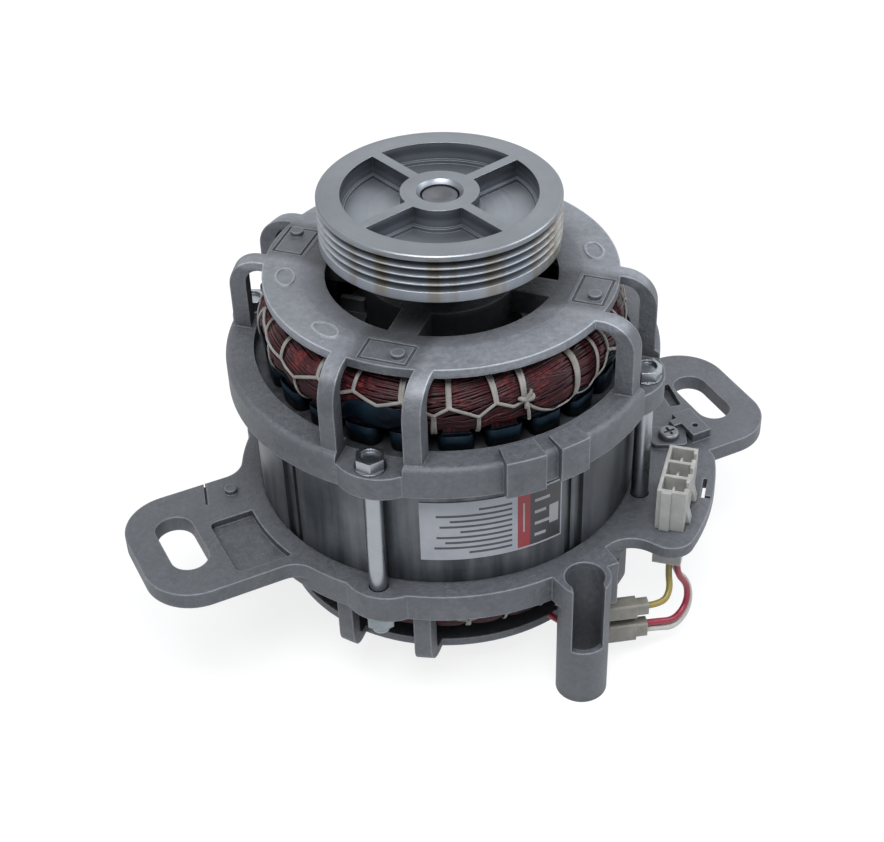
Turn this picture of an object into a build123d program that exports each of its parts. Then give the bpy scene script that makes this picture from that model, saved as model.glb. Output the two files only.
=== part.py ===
from build123d import *
from math import atan2, cos, degrees, hypot, pi, radians, sin, sqrt, tan
import os

os.makedirs("parts", exist_ok=True)

# Belt-drive induction motor. The origin is on the shaft axis, in the plane of the two
# mounting ears. +Z points to the pulley, +X to the right-hand ear, and the wiring
# connector and the pivot sleeve are on the -Y side. Lengths are in millimetres.

# Shared clearances
overrun = 1.0
seat_gap = 0.05
soft_gap = 0.3

# Through bolts, which set the pattern of both end brackets
bolt_count = 4
bolt_first_angle = 45.0
bolt_outset = 3.7
bolt_shank_r = 2.5
bolt_hole_clearance = 0.2
bolt_head_flats = 7.0
bolt_head_height = 3.2
bolt_head_angle = 20.0
bolt_collar_r = 4.1
bolt_collar_height = 0.4
bolt_recess_r = 2.6
bolt_recess_depth = 0.9
bolt_bulge_r = 13.0
bolt_bulge_reach = 4.9
bolt_tip_length = 2.6
bolt_tip_chamfer = 0.6
nut_height = 4.0
washer_r = 4.5
washer_thickness = 1.1
hex_sides = 6

# Stator core
core_r = 54.0
core_low = -5.0
core_high = 40.0
stator_width = 21.55
air_gap = 0.35
slot_count = 24
slot_mouth = 2.4
slot_lip = 1.3
slot_inner_width = 4.6
slot_outer_width = 7.8
yoke_thickness = 5.85
flute_count = 4
flute_angle = 13.0
flute_width = 6.4
flute_depth = 1.3
flute_bead_width = 1.5
flute_bead_height = 0.7

# Slot insulation and conductors
liner_gap = 0.05
liner_thickness = 0.3
liner_overhang = 6.0
conductor_gap = 0.15
conductor_high = 50.0
conductor_low = -13.6

# End windings, each one unbroken tube laid in layers
wire_d = 2.0
winding_inset = 15.9
winding_turns_per_layer = 4
winding_layers = 4
turn_pitch = 2.75
layer_pitch = 2.75
winding_seat_gap = 0.4

# Lacing ties around the end windings
lacing_count = 12
lacing_width = 1.5
lacing_thickness = 1.0

# Upper bracket
ring_inset = 10.4
ring_flat_width = 10.0
ring_width = 16.5
ring_top = 65.7
ring_thickness = 2.6
ring_dish = 1.4
collar_wall = 5.9
collar_lip = 1.8
collar_low = 34.3
sill_z = 43.6
sill_edge_radius = 1.6
leg_inset = 1.5
leg_depth = 4.8
leg_thickness = 4.6
leg_spacing = 22.4
leg_corner_radius = 9.0
leg_inner_corner_radius = 4.6
shelf_z = 41.0
pad_edge_gap = 0.6
pad_length = 10.6
pad_width = 15.0
pad_thickness = 2.6
pad_line_inset = 0.9
pad_line_width = 0.7
pad_line_depth = 0.5
stub_r = 1.8
stub_height = 1.4
stub_inset = 4.7
stub_angle = 49.2
spoke_width = 8.0
spoke_inner_r = 19.0
spoke_bite = 3.5
spoke_low = 57.5
hub_r = 21.0
hub_low = 50.0
hub_high = 64.3
hub_lip_r = 12.5

# Lugs cast on the front of the upper collar: first angle, last angle, outer radius, top
lug_root = 1.0
first_lug_from_angle = -101.8
first_lug_to_angle = -91.8
first_lug_reach = 2.5
first_lug_top = 45.4
second_lug_from_angle = -87.4
second_lug_to_angle = -79.2
second_lug_reach = 1.8
second_lug_top = 44.8

# Oval cast rims on the ring, left blank inside
oval_inset = 6.2
oval_half_length = 4.4
oval_half_width = 2.7
oval_rim = 0.6
oval_height = 0.35
oval_angles = (160.5, -161.0, -18.0)

# Lower bracket
flange_wall = 6.0
flange_thickness = 8.5
lower_ring_inset = 8.4
lower_ring_width = 16.0
lower_ring_low = -29.2
lower_ring_thickness = 2.6
lower_leg_inset = 2.6
lower_leg_depth = 4.4
lower_leg_corner_radius = 6.0
lower_leg_inner_corner_radius = 2.4
lower_spoke_high = -22.5
lower_hub_low = -31.0
lower_hub_high = -14.6
lower_hub_floor = 2.0

# Mounting ears
ear_thickness = 4.8
ear_tip_x = 94.6
ear_root_x = 42.0
left_ear_y = -0.4
left_ear_width = 43.0
right_ear_y = -11.0
right_ear_width = 46.5
ear_corner_radius = 14.0
ear_root_radius = 7.0
ear_slot_x = 81.4
ear_slot_width = 10.4
ear_slot_length = 23.0
left_slot_y = 0.0
right_slot_y = -11.3
recess_x = -64.8
recess_y = -7.2
recess_length = 14.6
recess_width = 22.5
recess_depth = 2.2
recess_corner_radius = 2.0
recess_wall = 5.6
ear_stub_x = -61.8
ear_stub_y = 14.4
ear_slit_x = -68.6
ear_slit_y = 16.6
ear_slit_length = 9.4
ear_slit_width = 0.6
ear_slit_depth = 1.2
ear_slit_angle = -15.7
step_x = 69.7
step_y = -23.2
step_length = 6.2
step_width = 11.6
step_height = 3.0
step_hook_length = 2.6
step_hook_width = 2.8
step_hook_y = -21.2
step_hole_y = -25.2
step_hole_r = 0.9
pocket_x = 73.1
pocket_y = -5.8
pocket_angle = -12.0
pocket_length = 3.6
pocket_width = 11.0
pocket_depth = 2.6

# Ground screw on its raised pad
ground_x_outset = 1.0
ground_y = -24.4
ground_pad_length = 10.4
ground_pad_width = 8.6
ground_pad_angle = -28.0
ground_pad_height = 1.6
ground_pad_corner = 1.5
ground_screw_head_r = 3.1
ground_screw_head_height = 1.9
ground_screw_shank_r = 1.75
ground_screw_length = 6.0
ground_cross_length = 3.6
ground_cross_width = 0.8
ground_cross_depth = 0.9

# Connector lobe
lobe_reach = 18.4
lobe_thickness = 3.6
lobe_from_angle = -62.0
lobe_to_angle = -24.0
lobe_root_radius = 9.0
lobe_corner_radius = 7.0
latch_inset = 3.0
latch_angle = -39.6
latch_length = 8.6
latch_width = 1.1

# Connector
connector_outset = 8.9
connector_angle = -47.6
connector_yaw_angle = 5.3
connector_length = 20.6
connector_width = 8.2
connector_high = 13.6
connector_low = -13.0
connector_ramp_reach = 1.3
connector_ramp_height = 4.6
connector_ramp_width = 3.4
connector_ramp_offset = 4.8
connector_rib_x = -1.4
connector_rib_width = 2.8
connector_rib_reach = 0.9
connector_cells = 3
connector_cell_wall = 1.0
connector_cell_depth = 9.0
connector_cell_step = 2.2
connector_seat_gap = 0.15
contact_width = 2.8
contact_thickness = 0.8
contact_rise = 7.0

# Pivot sleeve on the lower bracket, open along its upper half
sleeve_x = 9.5
sleeve_y = -63.8
sleeve_bore_r = 5.5
sleeve_wall = 1.75
sleeve_low = -41.7
sleeve_closed_high = -22.5
sleeve_mouth = 8.6
sleeve_mouth_angle = -108.0
sleeve_gusset_length = 10.9
sleeve_gusset_depth = 15.0
sleeve_gusset_near = -63.4

# Bearings, single row deep groove
bearing_bore_r = 7.5
bearing_outer_r = 17.5
bearing_width = 11.0
bearing_inner_land_r = 10.2
bearing_outer_land_r = 14.8
ball_r = 2.97
ball_circle_r = 12.5
ball_count = 8
ball_first_angle = 22.5
ball_play = 0.05
cage_thickness = 1.5
cage_height = 7.2
cage_play = 0.12
shield_thickness = 0.3
shield_inset = 0.5
shield_play = 0.3
upper_bearing_low = 51.5
lower_bearing_low = -27.0
preload_thickness = 0.4
preload_rise = 1.2
preload_outer_r = 16.8
preload_inner_r = 13.4

# Shaft, rotor and pulley
shaft_body_r = 8.5
shaft_low = -30.0
shaft_nose_r = 5.2
shaft_chamfer = 0.6
shaft_end_drop = 1.3
shaft_dimple_r = 3.4
shaft_dimple_depth = 0.7
rotor_bar_count = 28
rotor_bar_r = 1.6
rotor_bar_inset = 3.5
end_ring_inset = 1.1
end_ring_width = 9.0
end_ring_height = 6.0
blade_count = 8
blade_thickness = 1.8
blade_height = 4.2
blade_inset = 1.0
balance_peg_r = 1.5
balance_peg_count = 4

pulley_r = 32.25
pulley_low = 74.8
pulley_high = 88.5
groove_count = 4
groove_pitch = 2.34
groove_depth = 1.8
groove_root_width = 0.3
groove_crest_width = 0.35
groove_first_drop = 2.55
pulley_edge_chamfer = 0.3
pulley_hub_r = 10.4
pulley_rim_width = 6.25
pulley_pocket_depth = 6.0
pulley_ledge = 0.9
pulley_ledge_height = 1.0
pulley_under_depth = 5.0
pulley_under_rim_width = 4.75
pulley_spoke_count = 4
pulley_spoke_angle = 14.6
pulley_spoke_width = 3.0
pulley_bore_chamfer = 1.1

# Bare label on the core
label_from_angle = -123.7
label_to_angle = -82.0
label_low = 8.2
label_high = 28.0
label_thickness = 0.2

# Thermal protector tied inside the lower end winding
protector_angle = 90.0
protector_thickness = 3.8
protector_width = 12.0
protector_low = -25.0
protector_high = -15.5
protector_edge = 0.8

# Leads between the connector and the winding, and the covers on their terminals
lead_d = 1.9
arc_share = 0.45
cover_length = 13.0
cover_width = 5.0
cover_neck_length = 3.4
cover_neck_share = 0.8
cover_edge = 0.9
cover_x = 20.0
cover_y = -57.1
cover_heading_angle = -18.0
yellow_cover_z = -23.7
yellow_cover_height = 5.2
red_cover_z = -31.8
red_cover_height = 6.4
pair_spacing = 2.4
yellow_exit_run = 4.6
pair_exit_run = 3.1
tail_exit_run = 2.4

# Derived sizes shared by several pieces
stator_bore_r = core_r - stator_width
slot_depth = stator_width - yoke_thickness - slot_lip
rotor_r = stator_bore_r - air_gap
rotor_bar_circle_r = rotor_r - rotor_bar_inset
end_ring_outer_r = rotor_r - end_ring_inset
end_ring_inner_r = end_ring_outer_r - end_ring_width
blade_outer_r = end_ring_outer_r - blade_inset
blade_inner_r = end_ring_inner_r + blade_inset
pulley_rim_inner_r = pulley_r - pulley_rim_width
pulley_under_rim_r = pulley_r - pulley_under_rim_width
bolt_circle_r = core_r + bolt_outset
collar_outer_r = core_r + collar_wall
collar_inner_r = core_r - collar_lip
leg_outer_r = collar_outer_r - leg_inset
ring_outer_r = leg_outer_r - ring_inset
ring_flat_inner_r = ring_outer_r - ring_flat_width
ring_opening_r = ring_outer_r - ring_width
pad_outer_r = ring_outer_r - pad_edge_gap
pad_inner_r = pad_outer_r - pad_length
stub_circle_r = ring_outer_r - stub_inset
stub_angles = (stub_angle, 180 - stub_angle, stub_angle - 180, -stub_angle)
spoke_outer_r = ring_opening_r + spoke_bite
lug_inner_r = core_r + lug_root
first_lug_r = collar_outer_r + first_lug_reach
second_lug_r = collar_outer_r + second_lug_reach
oval_circle_r = ring_outer_r - oval_inset
flange_r = core_r + flange_wall
lower_leg_outer_r = flange_r - lower_leg_inset
lower_ring_outer_r = lower_leg_outer_r - lower_ring_inset
lower_ring_inner_r = lower_ring_outer_r - lower_ring_width
lobe_r = flange_r + lobe_reach
latch_r = lobe_r - latch_inset
connector_r = flange_r + connector_outset
ground_x = flange_r + ground_x_outset
winding_inner_r = core_r - winding_inset
bolt_angles = [bolt_first_angle + 360 * index / bolt_count for index in range(bolt_count)]
winding_wire_r = wire_d / 2
winding_width = winding_turns_per_layer * turn_pitch + wire_d
winding_height = (winding_layers - 1) * layer_pitch + wire_d
winding_outer_r = winding_inner_r + winding_width
upper_winding_low = conductor_high + winding_seat_gap
lower_winding_high = conductor_low - winding_seat_gap
upper_bearing_high = upper_bearing_low + bearing_width
lower_bearing_high = lower_bearing_low + bearing_width
bolt_hole_r = bolt_shank_r + bolt_hole_clearance
sleeve_outer_r = sleeve_bore_r + sleeve_wall
protector_face = sqrt((winding_inner_r - soft_gap) ** 2 - (protector_width / 2) ** 2)
protector_back = protector_face - protector_thickness

stand_on_low = (Align.CENTER, Align.CENTER, Align.MIN)


# Small helpers

def disc(radius, low, high):
    return Pos(0, 0, low) * Cylinder(radius, high - low, align=stand_on_low)


def tube(outer_r, inner_r, low, high):
    return disc(outer_r, low, high) - disc(inner_r, low - overrun, high + overrun)


def peg(x, y, radius, low, high):
    return Pos(x, y, 0) * disc(radius, low, high)


def block(x_from, x_to, y_from, y_to, low, high):
    middle = Pos((x_from + x_to) / 2, (y_from + y_to) / 2, low)
    return middle * Box(x_to - x_from, y_to - y_from, high - low, align=stand_on_low)


def turned(shape, angle):
    return Rot(0, 0, angle) * shape


def around(shape, angles):
    return [turned(shape, angle) for angle in angles]


def even_angles(count, first=0):
    return [first + 360 * index / count for index in range(count)]


def polar(radius, angle):
    return (radius * cos(radians(angle)), radius * sin(radians(angle)))


def prism(points, low, high):
    return extrude(Pos(0, 0, low) * Polygon(*points, align=None), amount=high - low)


def lathe(points):
    return revolve(Plane.XZ * Polygon(*points, align=None), Axis.Z)


def sector(outer_r, inner_r, angle_from, angle_to, low, high):
    half = (angle_to - angle_from) / 2
    reach = 2 * outer_r
    wedge = prism([(0, 0), (reach * cos(radians(half)), -reach * sin(radians(half))),
                   (reach * cos(radians(half)), reach * sin(radians(half)))], low, high)
    return turned(wedge, angle_from + half) & tube(outer_r, inner_r, low, high)


def rounded_plate(length, width, radius, low, high):
    sketch = RectangleRounded(length, width, radius)
    return extrude(Pos(0, 0, low) * sketch, amount=high - low)


def nearest_corner(sketch, x, y):
    return min(sketch.vertices(), key=lambda v: hypot(v.X - x, v.Y - y))


def save(name, shape):
    pieces = shape if isinstance(shape, list) else [shape]
    solids = [solid for piece in pieces for solid in piece.solids()]
    whole = solids[0] if len(solids) == 1 else Compound(solids)
    export_step(whole, os.path.join("parts", name + ".step"))
    print(name, len(solids), "solid(s)", round(sum(s.volume for s in solids), 1), "mm3")


# Cast brackets

def leg_shell(inner_r, ring_face, ring_plate, outer_r, depth, foot, corner_r, inner_corner_r):
    """Bell-shaped shell that the eight legs of a bracket are cut from, ring at the top."""
    inner_face_r = outer_r - depth
    under_ring = ring_face - ring_plate
    sketch = Polygon((inner_r, under_ring), (inner_face_r, under_ring), (inner_face_r, foot),
                     (outer_r, foot), (outer_r, ring_face), (inner_r, ring_face), align=None)
    sketch = fillet(nearest_corner(sketch, outer_r, ring_face), corner_r)
    sketch = fillet(nearest_corner(sketch, inner_face_r, under_ring), inner_corner_r)
    return revolve(Plane.XZ * sketch, Axis.Z)


def leg_slabs(reach, low, high):
    inner_side = (leg_spacing - leg_thickness) / 2
    outer_side = (leg_spacing + leg_thickness) / 2
    slabs = []
    for side in (-1, 1):
        near = min(side * inner_side, side * outer_side)
        far = max(side * inner_side, side * outer_side)
        slab = block(collar_inner_r / 2, reach, near, far, low, high)
        slabs += around(slab, bolt_angles)
    return slabs


def bracket_legs(shell, reach, low, high):
    return [shell & slab for slab in leg_slabs(reach, low, high)]


def bolt_holes(low, high):
    x, y = polar(bolt_circle_r, 0)
    return around(peg(x, y, bolt_hole_r, low - overrun, high + overrun), bolt_angles)


def bolt_bulges(low, high):
    """Swellings of a bracket's rim that give the through bolts their wall."""
    centre = bolt_circle_r + bolt_bulge_reach - bolt_bulge_r
    bulge = peg(centre, 0, bolt_bulge_r, low, high)
    bulge -= disc(collar_inner_r, low - overrun, high + overrun)
    return around(bulge, bolt_angles)


def ring_pads():
    pads = []
    line_cut_low = ring_top - pad_line_depth
    half = pad_width / 2
    pad = block(pad_inner_r, pad_outer_r, -half, half, ring_top - pad_thickness, ring_top)
    inset = pad_line_inset
    groove = block(pad_inner_r + inset, pad_outer_r - inset, -half + inset, half - inset,
                   line_cut_low, ring_top + overrun)
    inset = pad_line_inset + pad_line_width
    island = block(pad_inner_r + inset, pad_outer_r - inset, -half + inset, half - inset,
                   line_cut_low, ring_top + overrun)
    stub = peg(stub_circle_r, 0, stub_r, ring_top - pad_line_depth, ring_top + stub_height)
    return around(pad, bolt_angles), around(groove - island, bolt_angles), around(stub, stub_angles)


def cast_ovals():
    rim = Ellipse(oval_half_width, oval_half_length)
    rim -= Ellipse(oval_half_width - oval_rim, oval_half_length - oval_rim)
    raised = extrude(Pos(oval_circle_r, 0, ring_top - oval_rim) * rim, amount=oval_rim + oval_height)
    return around(raised, oval_angles)


def upper_bracket():
    under_ring = ring_top - ring_thickness
    ring = tube(ring_outer_r, ring_opening_r, under_ring, ring_top)
    ring -= lathe([(0, ring_top + overrun), (ring_flat_inner_r, ring_top + overrun),
                   (ring_flat_inner_r, ring_top), (ring_opening_r, ring_top - ring_dish),
                   (0, ring_top - ring_dish)])
    collar_sketch = Polygon((collar_inner_r, collar_low), (collar_outer_r, collar_low),
                            (collar_outer_r, sill_z), (collar_inner_r, sill_z), align=None)
    collar_sketch = fillet(nearest_corner(collar_sketch, collar_outer_r, sill_z), sill_edge_radius)
    collar = revolve(Plane.XZ * collar_sketch, Axis.Z)
    shell = leg_shell(ring_outer_r - ring_thickness, ring_top, ring_thickness, leg_outer_r, leg_depth,
                      shelf_z, leg_corner_radius, leg_inner_corner_radius)
    legs = bracket_legs(shell, leg_outer_r + overrun, collar_low, ring_top)
    pads, pad_lines, stubs = ring_pads()
    spoke = block(spoke_inner_r, spoke_outer_r, -spoke_width / 2, spoke_width / 2,
                  spoke_low, ring_top - ring_dish)
    hub = disc(hub_r, hub_low, hub_high)
    lugs = [sector(first_lug_r, lug_inner_r, first_lug_from_angle, first_lug_to_angle,
                   collar_low, first_lug_top),
            sector(second_lug_r, lug_inner_r, second_lug_from_angle, second_lug_to_angle,
                   collar_low, second_lug_top)]
    body = ring + pads + [collar, hub] + around(spoke, bolt_angles) + lugs
    body += bolt_bulges(collar_low, shelf_z)
    between_legs = (leg_spacing - leg_thickness) / 2
    shelf_cut = block(collar_inner_r - overrun, bolt_circle_r + bolt_bulge_r, -between_legs,
                      between_legs, shelf_z, sill_z + overrun)
    body -= around(shelf_cut, bolt_angles)
    body += legs
    body -= disc(core_r + seat_gap, collar_low - overrun, core_high + seat_gap)
    body -= disc(bearing_outer_r, hub_low - overrun, upper_bearing_high)
    body -= disc(hub_lip_r, hub_low, hub_high + overrun)
    body -= pad_lines
    body -= bolt_holes(collar_low, shelf_z)
    body += stubs
    body += cast_ovals()
    return body


def rooted_plate(outline, corners, thickness):
    """Plate on the flange's rim. Its inner corners with the rim are rounded."""
    sketch = Circle(flange_r) + outline
    for x, y, radius in corners:
        sketch = fillet(nearest_corner(sketch, x, y), radius)
    return extrude(Pos(0, 0, -thickness) * sketch, amount=thickness)


def ear_plate(side, ear_y, ear_width, rooted_sides):
    length = ear_tip_x - ear_root_x
    outline = Pos(side * (ear_root_x + length / 2), ear_y) * Rectangle(length, ear_width)
    corners = []
    for end in (-1, 1):
        corners.append((side * ear_tip_x, ear_y + end * ear_width / 2, ear_corner_radius))
    for end in rooted_sides:
        root_y = ear_y + end * ear_width / 2
        corners.append((side * sqrt(flange_r ** 2 - root_y ** 2), root_y, ear_root_radius))
    return rooted_plate(outline, corners, ear_thickness)


def ear_slot(x, y):
    sketch = SlotOverall(ear_slot_length, ear_slot_width, rotation=90)
    return extrude(Pos(x, y, -ear_thickness - overrun) * sketch, amount=ear_thickness + 2 * overrun)


def connector_lobe():
    from_x, from_y = polar(lobe_r, lobe_from_angle)
    to_x, to_y = polar(lobe_r, lobe_to_angle)
    root_x, root_y = polar(flange_r, lobe_from_angle)
    wedge = Polygon((0, 0), (2 * from_x, 2 * from_y), (2 * to_x, 2 * to_y), align=None)
    corners = [(from_x, from_y, lobe_corner_radius), (to_x, to_y, lobe_corner_radius),
               (root_x, root_y, lobe_root_radius)]
    return rooted_plate(Circle(lobe_r) & wedge, corners, lobe_thickness)


def connector_place():
    x, y = polar(connector_r, connector_angle)
    return Pos(x, y, 0) * Rot(0, 0, connector_angle + connector_yaw_angle)


def latch_slit():
    x, y = polar(latch_r, latch_angle)
    half = latch_length / 2
    slit = block(-latch_width / 2, latch_width / 2, -half, half, -lobe_thickness - overrun, overrun)
    foot = block(-latch_width / 2, 2 * latch_width, -half, -half + latch_width,
                 -lobe_thickness - overrun, overrun)
    return Pos(x, y, 0) * Rot(0, 0, latch_angle) * (slit + foot)


def pivot_sleeve():
    return peg(sleeve_x, sleeve_y, sleeve_outer_r, sleeve_low, 0)


def sleeve_web():
    """Casting between the flange and the sleeve, which hangs the sleeve on the flange."""
    angle = degrees(atan2(sleeve_y, sleeve_x))
    reach = hypot(sleeve_x, sleeve_y)
    web = block(flange_r - sleeve_outer_r, reach, -sleeve_outer_r, sleeve_outer_r,
                -flange_thickness, 0)
    return turned(web, angle)


def sleeve_gusset():
    """Rib that stiffens the sleeve on its right-hand side."""
    return block(sleeve_x, sleeve_x + sleeve_gusset_length, sleeve_gusset_near, -collar_inner_r,
                 -sleeve_gusset_depth, 0)


def sleeve_cuts():
    bore = peg(sleeve_x, sleeve_y, sleeve_bore_r, sleeve_low - overrun, overrun)
    mouth = block(-sleeve_mouth / 2, sleeve_mouth / 2, -2 * sleeve_outer_r, 0,
                  sleeve_closed_high, overrun)
    return [bore, Pos(sleeve_x, sleeve_y, 0) * Rot(0, 0, sleeve_mouth_angle + 90) * mouth]


def ear_recess():
    length = recess_length + recess_wall
    plate = rounded_plate(length, recess_width, recess_corner_radius, -recess_depth, overrun)
    middle_x = recess_x + recess_wall / 2
    return Pos(middle_x, recess_y, 0) * plate - disc(core_r + recess_wall, -recess_depth, overrun)


def ear_slit():
    half_length = ear_slit_length / 2
    half_width = ear_slit_width / 2
    slit = block(-half_width, half_width, -half_length, half_length, -ear_slit_depth, overrun)
    return Pos(ear_slit_x, ear_slit_y, 0) * Rot(0, 0, ear_slit_angle) * slit


def wall_pocket():
    half_length = pocket_length / 2
    half_width = pocket_width / 2
    pocket = block(-half_length, half_length, -half_width, half_width, -pocket_depth, overrun)
    return Pos(pocket_x, pocket_y, 0) * Rot(0, 0, pocket_angle) * pocket


def step_block():
    left = step_x - step_length / 2
    block_low = -lobe_thickness
    step = block(left, left + step_length, step_y - step_width / 2, step_y + step_width / 2,
                 block_low, step_height)
    step += block(left - step_hook_length, left + overrun, step_hook_y - step_hook_width / 2,
                  step_hook_y + step_hook_width / 2, block_low, step_height)
    return step - peg(step_x, step_hole_y, step_hole_r, 0, step_height + overrun)


def ground_pad(low, high):
    pad = rounded_plate(ground_pad_length, ground_pad_width, ground_pad_corner, low, high)
    return Pos(ground_x, ground_y, 0) * Rot(0, 0, ground_pad_angle) * pad


def lower_bracket():
    ring_high = lower_ring_low + lower_ring_thickness
    flange = tube(flange_r, collar_inner_r, -flange_thickness, 0)
    ring = tube(lower_ring_outer_r, lower_ring_inner_r, lower_ring_low, ring_high)
    shell = leg_shell(lower_ring_outer_r - lower_ring_thickness, -lower_ring_low, lower_ring_thickness,
                      lower_leg_outer_r, lower_leg_depth, flange_thickness - overrun,
                      lower_leg_corner_radius, lower_leg_inner_corner_radius)
    shell = mirror(shell, Plane.XY)
    legs = bracket_legs(shell, lower_leg_outer_r + overrun, lower_ring_low, 0)
    spoke = block(spoke_inner_r, lower_ring_inner_r + lower_ring_thickness, -spoke_width / 2,
                  spoke_width / 2, lower_ring_low, lower_spoke_high)
    hub = disc(hub_r, lower_hub_low, lower_hub_high)
    ears = ear_plate(-1, left_ear_y, left_ear_width, (-1, 1))
    ears += ear_plate(1, right_ear_y, right_ear_width, (1,))
    body = flange + [ring, hub, ears, connector_lobe(), pivot_sleeve(), sleeve_web(),
                     sleeve_gusset(), step_block()]
    body += bolt_bulges(-flange_thickness, 0)
    body += around(spoke, bolt_angles) + legs
    body += ground_pad(-lobe_thickness, ground_pad_height)
    body += peg(ear_stub_x, ear_stub_y, stub_r, -stub_height, stub_height)
    body -= disc(collar_inner_r, -flange_thickness, overrun)
    body -= disc(core_r + seat_gap, core_low, overrun)
    body -= disc(bearing_outer_r, lower_hub_low + lower_hub_floor, lower_hub_high + overrun)
    body -= disc(hub_lip_r, lower_hub_low - overrun, lower_hub_high)
    body -= bolt_holes(-flange_thickness, 0)
    body -= [ear_slot(-ear_slot_x, left_slot_y), ear_slot(ear_slot_x, right_slot_y)]
    body -= [ear_recess(), ear_slit(), wall_pocket()]
    window = connector_outline(connector_seat_gap)
    body -= connector_place() * extrude(Pos(0, 0, -flange_thickness) * window,
                                        amount=flange_thickness + overrun)
    body -= latch_slit()
    body -= sleeve_cuts()
    body -= peg(ground_x, ground_y, ground_screw_shank_r, -flange_thickness - overrun,
                ground_pad_height + overrun)
    return body


# Fasteners

def hexagon(flats, low, high):
    return extrude(Pos(0, 0, low) * RegularPolygon(flats / sqrt(3), hex_sides), amount=high - low)


def through_bolts():
    seat = shelf_z
    head_low = seat + bolt_collar_height
    head_high = head_low + bolt_head_height
    nut_low = -flange_thickness - washer_thickness - nut_height
    head = turned(hexagon(bolt_head_flats, head_low, head_high), bolt_head_angle)
    bolt = disc(bolt_collar_r, seat, head_low) + head
    bolt -= disc(bolt_recess_r, head_high - bolt_recess_depth, head_high + overrun)
    shank = disc(bolt_shank_r, nut_low - bolt_tip_length, seat)
    tip = shank.faces().sort_by(Axis.Z)[0].edges()
    shank = chamfer(tip, bolt_tip_chamfer)
    return around(Pos(bolt_circle_r, 0, 0) * (bolt + shank), bolt_angles)


def bolt_washers():
    low = -flange_thickness - washer_thickness
    washer = tube(washer_r, bolt_shank_r + seat_gap, low, -flange_thickness)
    return around(Pos(bolt_circle_r, 0, 0) * washer, bolt_angles)


def bolt_nuts():
    high = -flange_thickness - washer_thickness
    nut = turned(hexagon(bolt_head_flats, high - nut_height, high), bolt_head_angle)
    nut -= disc(bolt_shank_r, high - nut_height - overrun, high + overrun)
    return around(Pos(bolt_circle_r, 0, 0) * nut, bolt_angles)


def ground_screw():
    head_low = ground_pad_height
    head_high = head_low + ground_screw_head_height
    head = disc(ground_screw_head_r, head_low, head_high)
    head = fillet(head.faces().sort_by(Axis.Z)[-1].edges(), ground_screw_head_height / 2)
    shank = disc(ground_screw_shank_r, head_low - ground_screw_length, head_low)
    half_length = ground_cross_length / 2
    half_width = ground_cross_width / 2
    bar = block(-half_length, half_length, -half_width, half_width,
                head_high - ground_cross_depth, head_high + overrun)
    return Pos(ground_x, ground_y, 0) * (head + shank - [bar, turned(bar, 90)])


# Stator

def slot_outline(inset):
    """Half-turned trapezoid of one stator slot, pointing along +X, drawn in by the inset."""
    near = stator_bore_r + slot_lip + inset
    far = stator_bore_r + slot_lip + slot_depth - inset
    near_half = slot_inner_width / 2 - inset
    far_half = slot_outer_width / 2 - inset
    return [(near, -near_half), (far, -far_half), (far, far_half), (near, near_half)]


def slot_angles():
    return even_angles(slot_count, bolt_first_angle + 180 / slot_count)


def stator_core():
    low = core_low - overrun
    high = core_high + overrun
    slot = prism(slot_outline(0), low, high)
    slot += block(stator_bore_r - overrun, stator_bore_r + slot_lip + seat_gap, -slot_mouth / 2,
                  slot_mouth / 2, low, high)
    flute = block(core_r - flute_depth, core_r + overrun, -flute_width / 2, flute_width / 2, low, high)
    flute -= block(0, core_r - flute_depth + flute_bead_height, -flute_bead_width / 2,
                   flute_bead_width / 2, low, high)
    core = tube(core_r, stator_bore_r, core_low, core_high)
    core -= around(slot, slot_angles())
    core -= around(flute, even_angles(flute_count, flute_angle))
    return core


def slot_liners():
    low = core_low - liner_overhang
    high = core_high + liner_overhang
    liner = prism(slot_outline(liner_gap), low, high)
    liner -= prism(slot_outline(liner_gap + liner_thickness), low - overrun, high + overrun)
    mouth_side = stator_bore_r + slot_lip + liner_gap + liner_thickness
    liner -= block(stator_bore_r, mouth_side, -slot_mouth / 2, slot_mouth / 2,
                   low - overrun, high + overrun)
    return around(liner, slot_angles())


def slot_conductors():
    inset = liner_gap + liner_thickness + conductor_gap
    return around(prism(slot_outline(inset), conductor_low, conductor_high), slot_angles())


# End windings

def quarter_arc(start, corner, end):
    """Arc from start to end, tangent to the two equal lines that meet at the corner."""
    centre = start + end - corner
    middle = centre + (corner - centre) * (1 / sqrt(2))
    return ThreePointArc(start, middle, end)


def half_turn(start, heading, end):
    """Two quarter arcs from start to end. The heading turns right round on the way."""
    reach = (end - start).length / 2
    first_corner = start + heading * reach
    second_corner = end + heading * reach
    joint = (first_corner + second_corner) * 0.5
    return [quarter_arc(start, first_corner, joint), quarter_arc(joint, second_corner, end)]


def winding_stops(low):
    """Radius and height at each half turn: out over one layer, back over the next."""
    radius = winding_inner_r + winding_wire_r
    height = low + winding_wire_r
    stops = [(radius, height)]
    for layer in range(winding_layers):
        way = 1 if layer % 2 == 0 else -1
        for step in range(2 * winding_turns_per_layer):
            radius += way * turn_pitch / 2
            stops.append((radius, height))
        if layer < winding_layers - 1:
            height += layer_pitch
            stops.append((radius, height))
    return stops


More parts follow.
